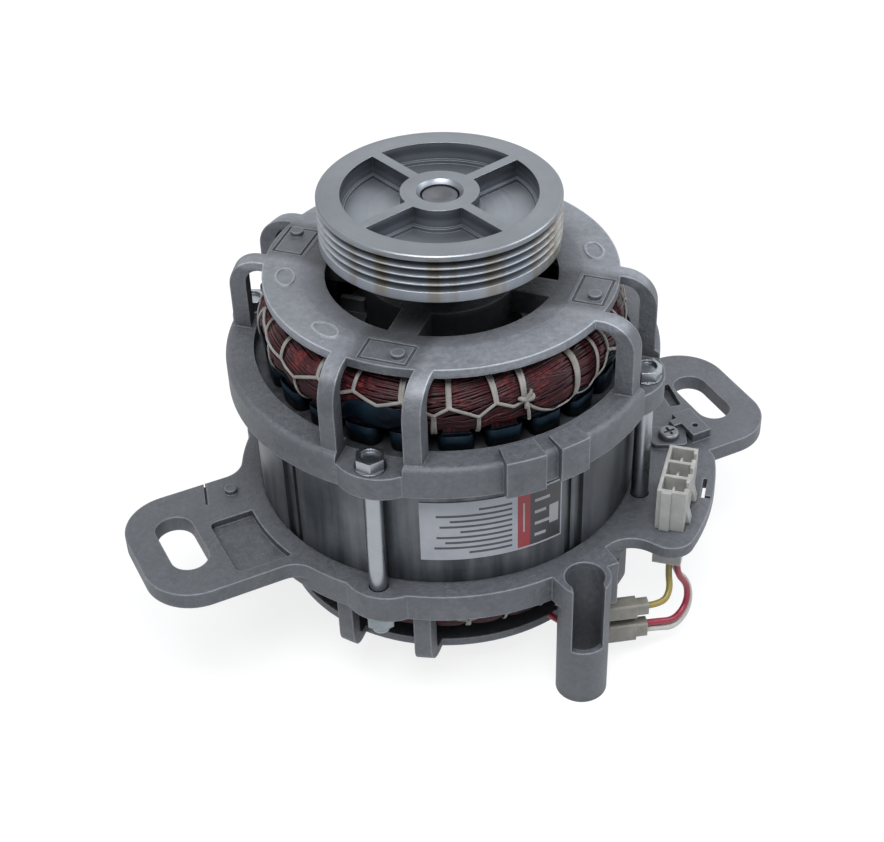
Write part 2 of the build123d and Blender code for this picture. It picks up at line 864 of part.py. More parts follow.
def winding_path(low):
    edges = []
    stops = winding_stops(low)
    points = []
    for index, (radius, height) in enumerate(stops):
        side = 1 if index % 2 == 0 else -1
        points.append(Vector(side * radius, 0, height))
    lead_in = points[0] - Vector(0, wire_d, 0)
    edges.append(Line(lead_in, points[0]))
    for index in range(len(points) - 1):
        heading = Vector(0, 1, 0) if index % 2 == 0 else Vector(0, -1, 0)
        edges += half_turn(points[index], heading, points[index + 1])
    last_heading = Vector(0, 1, 0) if len(points) % 2 == 1 else Vector(0, -1, 0)
    edges.append(Line(points[-1], points[-1] + last_heading * wire_d))
    return edges


def least_gap(edges, diameter):
    """Smallest distance between two turns of the tube, measured on points along it."""
    points = []
    for edge in edges:
        count = max(2, int(edge.length / diameter))
        points += [edge.position_at(step / count) for step in range(count)]
    apart = int(pi * winding_inner_r / diameter)
    cells = {}
    for index, point in enumerate(points):
        key = tuple(int(value // (2 * diameter)) for value in point)
        cells.setdefault(key, []).append(index)
    least = winding_outer_r
    for index, point in enumerate(points):
        key = [int(value // (2 * diameter)) for value in point]
        for dx in (-1, 0, 1):
            for dy in (-1, 0, 1):
                for dz in (-1, 0, 1):
                    for other in cells.get((key[0] + dx, key[1] + dy, key[2] + dz), []):
                        if other - index > apart:
                            least = min(least, (points[other] - point).length)
    return least - diameter


def end_winding(name, low):
    edges = winding_path(low)
    path = Wire(edges)
    start = Plane(origin=path @ 0, z_dir=path % 0)
    coil = sweep(start * Circle(winding_wire_r), path=path)
    section = pi * winding_wire_r ** 2
    print(name, "loops", winding_turns_per_layer * winding_layers + (winding_layers - 1) / 2,
          "least gap to itself", round(least_gap(edges, wire_d), 3),
          "volume over section times length", round(coil.volume / (section * path.length), 4))
    return coil


def lacing(low, high):
    inner_from = winding_inner_r - soft_gap
    inner_to = winding_outer_r + soft_gap
    outer_from = inner_from - lacing_thickness
    outer_to = inner_to + lacing_thickness
    half = lacing_width / 2
    band = block(outer_from, outer_to, -half, half, low - soft_gap - lacing_thickness,
                 high + soft_gap + lacing_thickness)
    band -= block(inner_from, inner_to, -lacing_width, lacing_width, low - soft_gap, high + soft_gap)
    return around(band, even_angles(lacing_count, bolt_first_angle))


# Bearings

def race_groove(middle):
    return Pos(0, 0, middle) * Torus(ball_circle_r, ball_r + ball_play)


def bearing_outer_ring(low):
    middle = low + bearing_width / 2
    return tube(bearing_outer_r, bearing_outer_land_r, low, low + bearing_width) - race_groove(middle)


def bearing_inner_ring(low):
    middle = low + bearing_width / 2
    return tube(bearing_inner_land_r, bearing_bore_r, low, low + bearing_width) - race_groove(middle)


def bearing_balls(low):
    ball = Pos(ball_circle_r, 0, low + bearing_width / 2) * Sphere(ball_r)
    return around(ball, even_angles(ball_count, ball_first_angle))


def bearing_cage(low):
    middle = low + bearing_width / 2
    ring = tube(ball_circle_r + cage_thickness / 2, ball_circle_r - cage_thickness / 2,
                middle - cage_height / 2, middle + cage_height / 2)
    pocket = Pos(ball_circle_r, 0, middle) * Rot(0, 90, 0) * Cylinder(ball_r + cage_play, 2 * cage_thickness)
    return ring - around(pocket, even_angles(ball_count, ball_first_angle))


def bearing_shields(low):
    inner_r = bearing_inner_land_r + shield_play
    first = low + shield_inset
    last = low + bearing_width - shield_inset - shield_thickness
    return [tube(bearing_outer_land_r, inner_r, height, height + shield_thickness)
            for height in (first, last)]


def preload_washer():
    """Curved spring washer between the lower bearing and the floor of its housing."""
    floor = lower_hub_low + lower_hub_floor
    bend_r = (preload_outer_r ** 2 + preload_rise ** 2) / (2 * preload_rise)
    crown = floor + preload_rise + preload_thickness
    length = 3 * preload_outer_r
    outer = Pos(0, 0, crown - bend_r - preload_thickness) * Rot(90, 0, 0) * Cylinder(
        bend_r + preload_thickness, length)
    inner = Pos(0, 0, crown - bend_r - preload_thickness) * Rot(90, 0, 0) * Cylinder(
        bend_r, length + overrun)
    room = tube(preload_outer_r, preload_inner_r, floor, lower_bearing_low)
    return (outer - inner) & room


# Shaft and rotor

def shaft():
    end = pulley_high - shaft_end_drop
    body = disc(bearing_bore_r, shaft_low, pulley_low)
    body += disc(shaft_body_r, lower_bearing_high, upper_bearing_low)
    body += disc(shaft_nose_r, pulley_low, end)
    body = chamfer(body.faces().sort_by(Axis.Z)[-1].edges(), shaft_chamfer)
    body = chamfer(body.faces().sort_by(Axis.Z)[0].edges(), shaft_chamfer)
    dimple = Pos(0, 0, end) * Cone(0, shaft_dimple_r, shaft_dimple_depth,
                                   align=(Align.CENTER, Align.CENTER, Align.MAX))
    return body - dimple


def rotor_core():
    bar = peg(rotor_bar_circle_r, 0, rotor_bar_r, core_low - overrun, core_high + overrun)
    core = tube(rotor_r, shaft_body_r, core_low, core_high)
    return core - around(bar, even_angles(rotor_bar_count))


def rotor_cage():
    """Cast bars, end rings, fan blades and balance pegs in one piece."""
    blade = block(blade_inner_r, blade_outer_r, -blade_thickness / 2, blade_thickness / 2,
                  core_high, core_high + end_ring_height + blade_height)
    peg_r = (end_ring_inner_r + end_ring_outer_r) / 2
    balance = peg(peg_r, 0, balance_peg_r, core_high, core_high + end_ring_height + blade_height / 2)
    top = tube(end_ring_outer_r, end_ring_inner_r, core_high, core_high + end_ring_height)
    top += around(blade, even_angles(blade_count))
    top += around(balance, even_angles(balance_peg_count, 180 / blade_count))
    centre = Plane.XY.offset((core_low + core_high) / 2)
    bar = peg(rotor_bar_circle_r, 0, rotor_bar_r, core_low, core_high)
    return top + mirror(top, centre) + around(bar, even_angles(rotor_bar_count))


# Pulley

def pulley_rim_points():
    """Outer edge of the pulley from its top down through the ribs of the belt track."""
    crest_half = groove_crest_width / 2
    root_half = groove_root_width / 2
    flank = groove_pitch / 2 - crest_half
    points = [(pulley_r - pulley_edge_chamfer, pulley_high), (pulley_r, pulley_high - pulley_edge_chamfer)]
    for index in range(groove_count):
        middle = pulley_high - groove_first_drop - index * groove_pitch
        points += [(pulley_r, middle + flank), (pulley_r - groove_depth, middle + root_half),
                   (pulley_r - groove_depth, middle - root_half), (pulley_r, middle - flank)]
    points += [(pulley_r, pulley_low + pulley_edge_chamfer), (pulley_r - pulley_edge_chamfer, pulley_low)]
    return points


def pulley():
    bore_r = shaft_nose_r
    mouth_r = bore_r + pulley_bore_chamfer
    body = lathe([(bore_r, pulley_low), (bore_r, pulley_high - pulley_bore_chamfer),
                  (mouth_r, pulley_high)] + pulley_rim_points())
    floor = pulley_high - pulley_pocket_depth
    ledge_top = floor + pulley_ledge_height
    pocket = tube(pulley_rim_inner_r, pulley_hub_r, ledge_top, pulley_high + overrun)
    pocket += tube(pulley_rim_inner_r - pulley_ledge, pulley_hub_r + pulley_ledge, floor, ledge_top)
    half = pulley_spoke_width / 2
    arm = block(0, pulley_r, -half, half, ledge_top, pulley_high + overrun)
    arm += block(0, pulley_r, -half - pulley_ledge, half + pulley_ledge, floor, ledge_top)
    pocket -= around(arm, even_angles(pulley_spoke_count, pulley_spoke_angle))
    under = tube(pulley_under_rim_r, pulley_hub_r, pulley_low - overrun,
                 pulley_low + pulley_under_depth)
    return body - pocket - under


# Label, protector, connector and leads

def rating_label():
    return sector(core_r + label_thickness, core_r, label_from_angle, label_to_angle, label_low, label_high)


def thermal_protector():
    half = protector_width / 2
    case = block(protector_back, protector_face, -half, half, protector_low, protector_high)
    case = fillet(case.edges().filter_by(Axis.Z), protector_edge)
    return turned(case, protector_angle)


def connector_outline(gap):
    return Rectangle(connector_width + 2 * gap, connector_length + 2 * gap)


def connector_cell_positions():
    pitch = (connector_length - connector_cell_wall) / connector_cells
    return [(index - (connector_cells - 1) / 2) * pitch for index in range(connector_cells)], pitch


def connector_ramp(y):
    """Latch on the outer side, which rests on the lobe."""
    wall = connector_width / 2
    profile = Polygon((wall - connector_cell_wall, 0), (wall + connector_ramp_reach, 0),
                      (wall, connector_ramp_height), (wall - connector_cell_wall, connector_ramp_height),
                      align=None)
    return Pos(0, y, 0) * extrude(Plane.XZ * profile, amount=connector_ramp_width / 2, both=True)


def connector_housing():
    body = extrude(Pos(0, 0, connector_low) * connector_outline(0),
                   amount=connector_high - connector_low)
    body += [connector_ramp(side * connector_ramp_offset) for side in (-1, 1)]
    near_end = -connector_length / 2
    body += block(connector_rib_x - connector_rib_width / 2, connector_rib_x + connector_rib_width / 2,
                  near_end - connector_rib_reach, near_end + connector_cell_wall, 0, connector_high)
    positions, pitch = connector_cell_positions()
    half_x = connector_width / 2 - connector_cell_wall
    half_y = (pitch - connector_cell_wall) / 2
    for y in positions:
        floor = connector_high - connector_cell_depth
        body -= block(-half_x, half_x, y - half_y, y + half_y, floor, connector_high + overrun)
    for y in positions:
        body -= block(half_x - overrun, connector_width / 2 + overrun, y - half_y / 2, y + half_y / 2,
                      connector_high - connector_cell_step, connector_high + overrun)
    return connector_place() * body


def connector_contacts():
    positions, pitch = connector_cell_positions()
    floor = connector_high - connector_cell_depth
    contacts = []
    for y in positions:
        blade = block(-contact_thickness / 2, contact_thickness / 2, y - contact_width / 2,
                      y + contact_width / 2, floor, floor + contact_rise)
        contacts.append(connector_place() * blade)
    return contacts


def cover_place(z):
    return Pos(cover_x, cover_y, z) * Rot(0, 0, cover_heading_angle)


def terminal_cover(z, height):
    """Nylon cover of a terminal: a flat body with a neck at the lead's end."""
    body_length = cover_length - cover_neck_length
    body = Pos(body_length / 2, 0, 0) * Box(body_length, cover_width, height)
    body = fillet(body.edges().filter_by(Axis.X), cover_edge)
    neck = Pos(body_length + cover_neck_length / 2, 0, 0) * Box(
        cover_neck_length, cover_width * cover_neck_share, height * cover_neck_share)
    neck = fillet(neck.edges().filter_by(Axis.X), cover_edge)
    return cover_place(z) * (body + neck)


def yellow_terminal_cover():
    return terminal_cover(yellow_cover_z, yellow_cover_height)


def red_terminal_cover():
    return terminal_cover(red_cover_z, red_cover_height)


def cover_point(z, along, up=0):
    """Point on the axis of a terminal cover, so many millimetres from its back."""
    return (cover_place(z) * Pos(along, 0, up)).position


def cover_exit(z, run, up=0):
    """Last two points of a lead that enters the neck of a cover square to its face."""
    return [cover_point(z, cover_length + run, up), cover_point(z, cover_length, up)]


def corner_radii(points):
    radii = []
    for index in range(1, len(points) - 1):
        before = points[index] - points[index - 1]
        after = points[index + 1] - points[index]
        turn = radians(before.get_angle(after))
        shorter = min(before.length, after.length)
        radii.append(arc_share * shorter / tan(turn / 2))
    return radii


def cord_tube(name, points):
    radii = corner_radii(points)
    path = FilletPolyline(*points, radius=radii)
    start = Plane(origin=path @ 0, z_dir=path % 0)
    cord = sweep(start * Circle(lead_d / 2), path=path)
    section = pi * (lead_d / 2) ** 2
    print(name, "radii", [round(radius, 1) for radius in radii], "length", round(path.length, 1),
          "volume over section times length", round(cord.volume / (section * path.length), 4))
    return cord


def yellow_lead():
    route = [Vector(41.0, -57.9, connector_low), Vector(41.0, -57.9, -17.6), Vector(40.2, -60.6, -21.4)]
    return cord_tube("yellow_lead", route + cover_exit(yellow_cover_z, yellow_exit_run))


def red_lead():
    route = [Vector(42.8, -59.4, connector_low), Vector(42.8, -59.4, -17.3), Vector(47.4, -59.0, -24.0),
             Vector(46.5, -60.5, -30.0), Vector(41.2, -62.4, -32.5)]
    return cord_tube("red_lead", route + cover_exit(red_cover_z, pair_exit_run, pair_spacing / 2))


def white_lead():
    route = [Vector(43.6, -56.7, connector_low), Vector(43.6, -56.7, -18.4), Vector(49.4, -56.8, -25.7),
             Vector(48.1, -59.8, -32.6), Vector(41.4, -62.6, -35.1)]
    return cord_tube("white_lead", route + cover_exit(red_cover_z, pair_exit_run, -pair_spacing / 2))


def upper_tail():
    route = [cover_point(yellow_cover_z, 0), cover_point(yellow_cover_z, -tail_exit_run),
             Vector(15.1, -55.4, -22.7), Vector(10.6, -54.3, -21.4), Vector(8.1, -51.3, -19.6)]
    return cord_tube("upper_tail", route)


def lower_tail():
    route = [cover_point(red_cover_z, 0), cover_point(red_cover_z, -tail_exit_run),
             Vector(15.5, -55.9, -31.0), Vector(12.9, -55.3, -29.0), Vector(8.7, -55.4, -25.2),
             Vector(5.4, -51.7, -22.8)]
    return cord_tube("lower_tail", route)


sub_parts = {
    "upper_bracket": upper_bracket,
    "lower_bracket": lower_bracket,
    "stator_core": stator_core,
    "slot_liners": slot_liners,
    "slot_conductors": slot_conductors,
    "upper_end_winding": lambda: end_winding("upper_end_winding", upper_winding_low),
    "lower_end_winding": lambda: end_winding("lower_end_winding", lower_winding_high - winding_height),
    "upper_lacing": lambda: lacing(upper_winding_low, upper_winding_low + winding_height),
    "lower_lacing": lambda: lacing(lower_winding_high - winding_height, lower_winding_high),
    "through_bolts": through_bolts,
    "bolt_washers": bolt_washers,
    "bolt_nuts": bolt_nuts,
    "ground_screw": ground_screw,
    "rating_label": rating_label,
    "thermal_protector": thermal_protector,
    "connector_housing": connector_housing,
    "connector_contacts": connector_contacts,
    "yellow_terminal_cover": yellow_terminal_cover,
    "red_terminal_cover": red_terminal_cover,
    "yellow_lead": yellow_lead,
    "red_lead": red_lead,
    "white_lead": white_lead,
    "upper_tail_lead": upper_tail,
    "lower_tail_lead": lower_tail,
    "shaft": shaft,
    "rotor_core": rotor_core,
    "rotor_cage": rotor_cage,
    "pulley": pulley,
    "preload_washer": preload_washer,
    "upper_bearing_outer_ring": lambda: bearing_outer_ring(upper_bearing_low),
    "upper_bearing_inner_ring": lambda: bearing_inner_ring(upper_bearing_low),
    "upper_bearing_balls": lambda: bearing_balls(upper_bearing_low),
    "upper_bearing_cage": lambda: bearing_cage(upper_bearing_low),
    "upper_bearing_shields": lambda: bearing_shields(upper_bearing_low),
    "lower_bearing_outer_ring": lambda: bearing_outer_ring(lower_bearing_low),
    "lower_bearing_inner_ring": lambda: bearing_inner_ring(lower_bearing_low),
    "lower_bearing_balls": lambda: bearing_balls(lower_bearing_low),
    "lower_bearing_cage": lambda: bearing_cage(lower_bearing_low),
    "lower_bearing_shields": lambda: bearing_shields(lower_bearing_low),
}

for node, make in sub_parts.items():
    save(node, make())
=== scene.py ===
from math import cos, pi, radians, sin

import bpy
import numpy as np
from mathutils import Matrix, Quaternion, Vector


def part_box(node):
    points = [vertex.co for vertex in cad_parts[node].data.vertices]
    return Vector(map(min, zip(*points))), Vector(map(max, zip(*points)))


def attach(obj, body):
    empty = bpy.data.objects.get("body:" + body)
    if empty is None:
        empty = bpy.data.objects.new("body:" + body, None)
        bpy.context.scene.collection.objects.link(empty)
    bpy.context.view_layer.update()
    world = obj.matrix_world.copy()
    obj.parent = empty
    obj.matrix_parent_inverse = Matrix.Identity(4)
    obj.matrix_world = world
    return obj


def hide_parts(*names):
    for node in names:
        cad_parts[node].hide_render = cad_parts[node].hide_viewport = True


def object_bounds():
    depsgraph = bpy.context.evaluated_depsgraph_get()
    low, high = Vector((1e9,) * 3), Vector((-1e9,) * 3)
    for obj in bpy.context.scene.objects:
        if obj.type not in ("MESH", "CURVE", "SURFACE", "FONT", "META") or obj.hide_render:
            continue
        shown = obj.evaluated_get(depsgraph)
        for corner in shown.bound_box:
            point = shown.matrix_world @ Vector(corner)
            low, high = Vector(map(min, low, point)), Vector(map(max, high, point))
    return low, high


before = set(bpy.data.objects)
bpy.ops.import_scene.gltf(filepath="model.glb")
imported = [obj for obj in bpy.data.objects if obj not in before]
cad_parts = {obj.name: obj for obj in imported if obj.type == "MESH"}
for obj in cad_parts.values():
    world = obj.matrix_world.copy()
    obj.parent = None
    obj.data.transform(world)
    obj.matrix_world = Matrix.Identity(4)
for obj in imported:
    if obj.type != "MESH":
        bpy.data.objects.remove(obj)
cad_low, cad_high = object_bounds()

# Everything is in metres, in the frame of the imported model: origin on the shaft axis in the
# plane of the ears, +Z to the pulley, +X to the right-hand ear, connector and sleeve at -Y.
# Angles are in degrees. A share of a section counts from its outer side, once round it.
mm = 0.001

# Photograph
photo_width = 884
photo_height = 842

# Camera, aimed at the centre of the pulley's top face and then turned in its own axes
camera_target_z = 88.5 * mm
camera_distance = 428.9 * mm
camera_azimuth = -25.2
camera_elevation = 29.78
camera_pan = 3.28
camera_tilt = -8.96
camera_roll = -1.3
focal_pixels = 1629
axis_pixel_x = 540
axis_pixel_y = 445
sensor_width = 36.0
camera_near = 0.01
camera_far = 20

# Surroundings
world_colour = (0.86, 0.93, 1.0, 1)
world_strength = 0.22
backdrop_colour = (1, 1, 1, 1)
floor_size = 6.0
floor_gap = 0.2 * mm
floor_colour = (0.82, 0.83, 0.84, 1)
floor_roughness = 0.9
floor_glow = 1.13
floor_glow_share = 0.72

# Lamps: name, place, place aimed at, size, power in watts, colour
lamps = (("key", (-0.35, -0.45, 1.25), (0, 0, 0.03), (0.9, 0.7), 18, (0.98, 0.985, 1.0)),
         ("fill", (0.72, -0.3, 0.62), (0, 0, 0.03), (0.5, 0.6), 3.9, (0.92, 0.96, 1.0)),
         ("sheen", (0.8, 0.85, 0.75), (0, 0, 0.05), (1.2, 0.8), 1.4, (0.94, 0.97, 1.0)))

# Samples that each rounded edge and each crevice takes
edge_samples = 6

# Castings: painted sheen brightens the upper ring's face between its pads, and painted shade darkens the
# hub under the pulley
pad_first_angle = 45.0
pad_half_width = 7.5 * mm
bright_from = 11 * mm
ring_face_low = 62.5 * mm
ring_face_high = 64 * mm
ring_sheen_gain = 0.95
hub_low = 40 * mm
hub_shade_inner_r = 25 * mm
hub_shade_outer_r = 42 * mm
hub_shade_darkest = 0.20

# Pulley: the belt's track, painted light that brightens all below the machined top, and painted shade in
# the pockets between the arms
track_r = 30.2 * mm
track_top = 87.6 * mm
under_top = 85.0 * mm
machined_top = 86.0 * mm
under_top_light_gain = 1.75
pocket_r = 26.0 * mm
pocket_wall_r = 26.5 * mm
pocket_top = 87.0 * mm
pocket_rim = 88.0 * mm
pocket_shade = 0.68
pocket_roughness = 0.2

# Thread on the through bolts
thread_top = -8.0 * mm
thread_pitch = 0.8 * mm

# Leads between the connector and the covers on the winding's terminals
lead_d = 1.9 * mm
connector_low = -13.0 * mm
cover_x = 20.0 * mm
cover_y = -57.1 * mm
cover_heading = -18.0
cover_length = 13.0 * mm
yellow_cover_z = -23.7 * mm
red_cover_z = -31.8 * mm
pair_spacing = 2.4 * mm
yellow_exit_run = 4.6 * mm
pair_exit_run = 3.1 * mm
tail_exit_run = 2.4 * mm

# End windings: the outline of the bundle's section, and the wires on it
slot_count = 24
slot_first_angle = 52.5
bundle_inner_r = 38.1 * mm
section_power = 0.85
bundle_outer_inset = 1.4 * mm
bundle_core_side_growth = 5.4 * mm
strand_r = 0.4 * mm
strand_count = 68
strand_swing_share = 0.09
strand_swing_waves = 3
strand_swing_phase = -60.0
strand_steps = 216
strand_sides = 6
strand_wander_share = 0.55
strand_common_wander = 0.012
strand_sink = 0.1 * mm
strand_sink_wander = 0.16 * mm
wander_waves = (2, 3, 5, 8)
wander_spread = 1.6
filler_inset = 0.9 * mm
filler_sections = 96
filler_corners = 24
slanted_count = 260
slanted_steps = 30
slanted_tuck = 1.6 * mm
slanted_spans = (26, 62)
slanted_slopes = (0.05, 0.2)
slanted_wave = 0.004
slanted_cover_power = 0.35
tie_squeeze_share = 0.09
tie_squeeze_width = 2.4
rise_rows = 2
rise_columns = 4
rise_steps = 8
rise_column_gap = 1.5 * mm
rise_row_start = 1.4 * mm
rise_row_gap = 2.0 * mm
rise_scatter = 1.6 * mm
rise_outward = 1.2 * mm
rise_row_inward = 1.3 * mm
rise_foot_depth = 3 * mm

# Film cuffs at the mouths of the slots
cuff_inner_r = 37.0 * mm
cuff_outer_r = 49.0 * mm
cuff_inner_half = 2.9 * mm
cuff_outer_half = 4.6 * mm
cuff_corner_r = 2.6 * mm
cuff_corner_steps = 5
cuff_thickness = 0.3 * mm
cuff_core_gap = 0.3 * mm
cuff_rise = 5.6 * mm
cuff_scallop = 1.5 * mm
cuff_flare = 0.25 * mm
cuff_flare_wave = 3.7
cuff_rise_swing = 0.5 * mm
cuff_rise_wave = 2.3

# Phase sheets that show at the upper winding: first angle, last angle, share of their upper edge
sheet_places = ((-200.0, -186.0, 0.02), (-183.0, -171.0, -0.06), (-151.0, -123.0, 0.035),
                (-92.0, -78.0, -0.085), (-76.0, -64.0, -0.07), (-61.0, -48.0, -0.02))
sheet_low_share = -0.22
sheet_lift = 0.15 * mm
sheet_fullness = 0.2
sheet_columns = 25
sheet_rows = 9

# Lacing cord round the windings: a chain, and ties from its nodes over and under the bundle
lace_width = 0.95 * mm
lace_thickness = 0.5 * mm
lace_lift = 0.45 * mm
lace_pair_gap = 1.5 * mm
lace_steps = 10
lace_sides = 8
tie_steps = 22
tie_lean = 0.02
tie_foot_spread = 0.3
plain_node_count = 50
plain_peak_share = 0.045
plain_valley_share = -0.01
plain_share_wander = 0.012
plain_angle_wander = 0.7

# Knot where the upper lacing ends, and how far up and aside each of its two tails runs
knot_angle = -91.5
knot_share = 0.02
knot_r = 1.15 * mm
knot_lift = 0.5 * mm
knot_ears = 0.8
knot_steps = 40
knot_half_width = 0.6 * mm
knot_half_thickness = 0.45 * mm
knot_tails = ((-6.2 * mm, 0.8 * mm), (3.1 * mm, 1.4 * mm))
knot_tail_bulge = 0.4 * mm

# Nodes of the upper chain where they were measured: angle, share of the way round the section,
# cords going over the bundle, cords going under it, and the width of one cord in millimetres
measured_nodes = (
    (-194.0, 0.150, 0, 0, 0.95), (-187.0, 0.060, 1, 0, 0.95), (-182.0, 0.045, 0, 1, 0.95),
    (-174.0, 0.030, 1, 0, 1.30), (-166.0, 0.002, 0, 1, 0.95), (-156.5, 0.070, 1, 0, 1.20),
    (-149.0, 0.030, 0, 1, 0.95), (-143.5, 0.075, 1, 0, 1.10), (-135.5, 0.026, 0, 0, 0.95),
    (-128.5, 0.060, 2, 0, 0.85), (-119.0, 0.002, 0, 2, 0.85), (-114.5, 0.035, 1, 0, 1.50),
    (-106.0, -0.010, 0, 1, 1.10), (-100.5, 0.035, 2, 0, 0.85), (-95.5, 0.004, 0, 0, 0.95),
    (-92.0, 0.010, 2, 0, 0.95), (-81.0, -0.125, 0, 0, 0.95), (-72.0, -0.110, 1, 0, 2.10),
    (-67.0, -0.112, 0, 0, 0.95), (-62.0, -0.092, 1, 0, 1.20), (-55.5, 0.020, 1, 0, 0.95),
    (-49.0, -0.020, 0, 1, 0.95))

# Label: fields and plain bars, as angles round the core and shares of the label's height
label_proud = 0.03 * mm
label_step = 1.5
label_edge = -123.7
label_red_from = -96.1
label_black_from = -92.3
label_black_to = -82.4
label_margin = 0.03
bar_margin = 0.06
bar_longest = 0.86
bar_lengths = (0.52, 0.93, 0.80, 0.90, 0.62, 0.86, 0.74, 0.90, 0.40)
bar_first = 0.10
bar_pitch = 0.092
bar_height = 0.036

# Pale marks on the label: first and last angle, lowest and highest share of its height
label_marks = ((-94.5, -94.0, 0.30, 0.80), (-90.9, -87.3, 0.16, 0.21), (-90.9, -86.1, 0.36, 0.41),
               (-90.9, -87.3, 0.56, 0.61), (-90.9, -86.1, 0.76, 0.81), (-86.2, -83.2, 0.30, 0.62))


# Camera and surroundings

def make_camera():
    data = bpy.data.cameras.new("camera")
    camera = bpy.data.objects.new("camera", data)
    bpy.context.scene.collection.objects.link(camera)
    azimuth = radians(camera_azimuth)
    elevation = radians(camera_elevation)
    back = Vector((sin(azimuth) * cos(elevation), -cos(azimuth) * cos(elevation), sin(elevation)))
    aim = (-back).to_track_quat("-Z", "Y")
    aim = aim @ Quaternion((0, 1, 0), -radians(camera_pan))
    aim = aim @ Quaternion((1, 0, 0), radians(camera_tilt))
    aim = aim @ Quaternion((0, 0, 1), radians(camera_roll))
    camera.location = Vector((0, 0, camera_target_z)) + back * camera_distance
    camera.rotation_mode = "QUATERNION"
    camera.rotation_quaternion = aim
    data.sensor_width = sensor_width
    data.lens = focal_pixels * sensor_width / photo_width
    data.shift_x = (photo_width / 2 - axis_pixel_x) / photo_width
    data.shift_y = (axis_pixel_y - photo_height / 2) / photo_width
    data.clip_start = camera_near
    data.clip_end = camera_far
    bpy.context.scene.camera = camera


def area_light(name, place, aim, size, power, colour):
    data = bpy.data.lights.new(name, "AREA")
    data.shape = "RECTANGLE"
    data.size = size[0]
    data.size_y = size[1]
    data.energy = power
    data.color = colour
    lamp = bpy.data.objects.new(name, data)
    lamp.location = place
    lamp.rotation_mode = "QUATERNION"
    lamp.rotation_quaternion = (Vector(aim) - Vector(place)).to_track_quat("-Z", "Y")
    bpy.context.scene.collection.objects.link(lamp)


def seen_directly(tree):
    """1 for what the camera sees, straight or in a mirror or glass, and 0 for soft light."""
    path = tree.nodes.new("ShaderNodeLightPath")
    first = maths(tree, "MAXIMUM", path.outputs["Is Camera Ray"], path.outputs["Is Transmission Ray"])
    return maths(tree, "MAXIMUM", first, path.outputs["Is Glossy Ray"])


def mixed(tree, share, first, second, output):
    """Mixes two shaders by a share of the second, for the tree's output."""
    mix = tree.nodes.new("ShaderNodeMixShader")
    tree.links.new(share, mix.inputs["Fac"])
    tree.links.new(first.outputs[0], mix.inputs[1])
    tree.links.new(second.outputs[0], mix.inputs[2])
    tree.links.new(mix.outputs[0], tree.nodes[output].inputs["Surface"])


def make_world():
    world = bpy.data.worlds.new("studio")
    bpy.context.scene.world = world
    world.use_nodes = True
    tree = world.node_tree
    light = tree.nodes["Background"]
    light.inputs["Color"].default_value = world_colour
    light.inputs["Strength"].default_value = world_strength
    backdrop = tree.nodes.new("ShaderNodeBackground")
    backdrop.inputs["Color"].default_value = backdrop_colour
    mixed(tree, seen_directly(tree), light, backdrop, "World Output")


def make_floor():
    bpy.ops.mesh.primitive_plane_add(size=floor_size, location=(0, 0, cad_low.z - floor_gap))
    floor = bpy.context.object
    floor.name = "floor"
    material = bpy.data.materials.new("pale_floor")
    material.use_nodes = True
    tree = material.node_tree
    shader = tree.nodes["Principled BSDF"]
    shader.inputs["Base Color"].default_value = floor_colour
    shader.inputs["Roughness"].default_value = floor_roughness
    glow = tree.nodes.new("ShaderNodeEmission")
    glow.inputs["Strength"].default_value = floor_glow
    share = maths(tree, "MULTIPLY", seen_directly(tree), floor_glow_share)
    mixed(tree, share, shader, glow, "Material Output")
    floor.data.materials.append(material)


# Node helpers, which add nodes to a material's tree and return an output of them

def maths(tree, operation, first, second=0.0):
    node = tree.nodes.new("ShaderNodeMath")
    node.operation = operation
    for socket, value in zip(node.inputs, (first, second)):
        if isinstance(value, (int, float)):
            socket.default_value = value
        else:
            tree.links.new(value, socket)
    return node.outputs[0]


def places(tree):
    """Coordinates in the piece's own frame, which turn with it."""
    return tree.nodes.new("ShaderNodeTexCoord").outputs["Object"]


def mapped(tree, change, value):
    """Places on the piece after a change, which is Scale or Rotation."""
    node = tree.nodes.new("ShaderNodeMapping")
    tree.links.new(places(tree), node.inputs["Vector"])
    node.inputs[change].default_value = value
    return node.outputs[0]


def axes(tree, vector):
    """The three values of a vector."""
    node = tree.nodes.new("ShaderNodeSeparateXYZ")
    tree.links.new(vector, node.inputs[0])
    return node.outputs


def vector_maths(tree, operation, first, second=None, socket=1):
    node = tree.nodes.new("ShaderNodeVectorMath")
    node.operation = operation
    tree.links.new(first, node.inputs[0])
    if second is not None:
        tree.links.new(second, node.inputs[socket])
    return node


def noise(tree, vector, scale, detail, roughness):
    """Noise from 0 to 1, finer as the scale rises."""
    node = tree.nodes.new("ShaderNodeTexNoise")
    tree.links.new(vector, node.inputs["Vector"])
    node.inputs["Scale"].default_value = scale
    node.inputs["Detail"].default_value = detail
    node.inputs["Roughness"].default_value = roughness
    return node.outputs["Fac"]


def clouds(tree, scale):
    """Broad patches over the piece."""
    return noise(tree, places(tree), scale, 4, 0.6)


def grains(tree, scale):
    """Fine marks over the piece."""
    return noise(tree, places(tree), scale, 2, 0.5)


def blended(tree, first, second, share):
    """Mean of two values, with the given share of the second."""
    return maths(tree, "ADD", maths(tree, "MULTIPLY", first, 1 - share),
                 maths(tree, "MULTIPLY", second, share))


def round_places(tree):
    """Coordinates (radius, 0, height), which are the same all the way round the shaft."""
    x, y, height = axes(tree, places(tree))
    squares = maths(tree, "ADD", maths(tree, "MULTIPLY", x, x), maths(tree, "MULTIPLY", y, y))
    join = tree.nodes.new("ShaderNodeCombineXYZ")
    tree.links.new(maths(tree, "SQRT", squares), join.inputs[0])
    tree.links.new(height, join.inputs[2])
    return join.outputs[0]


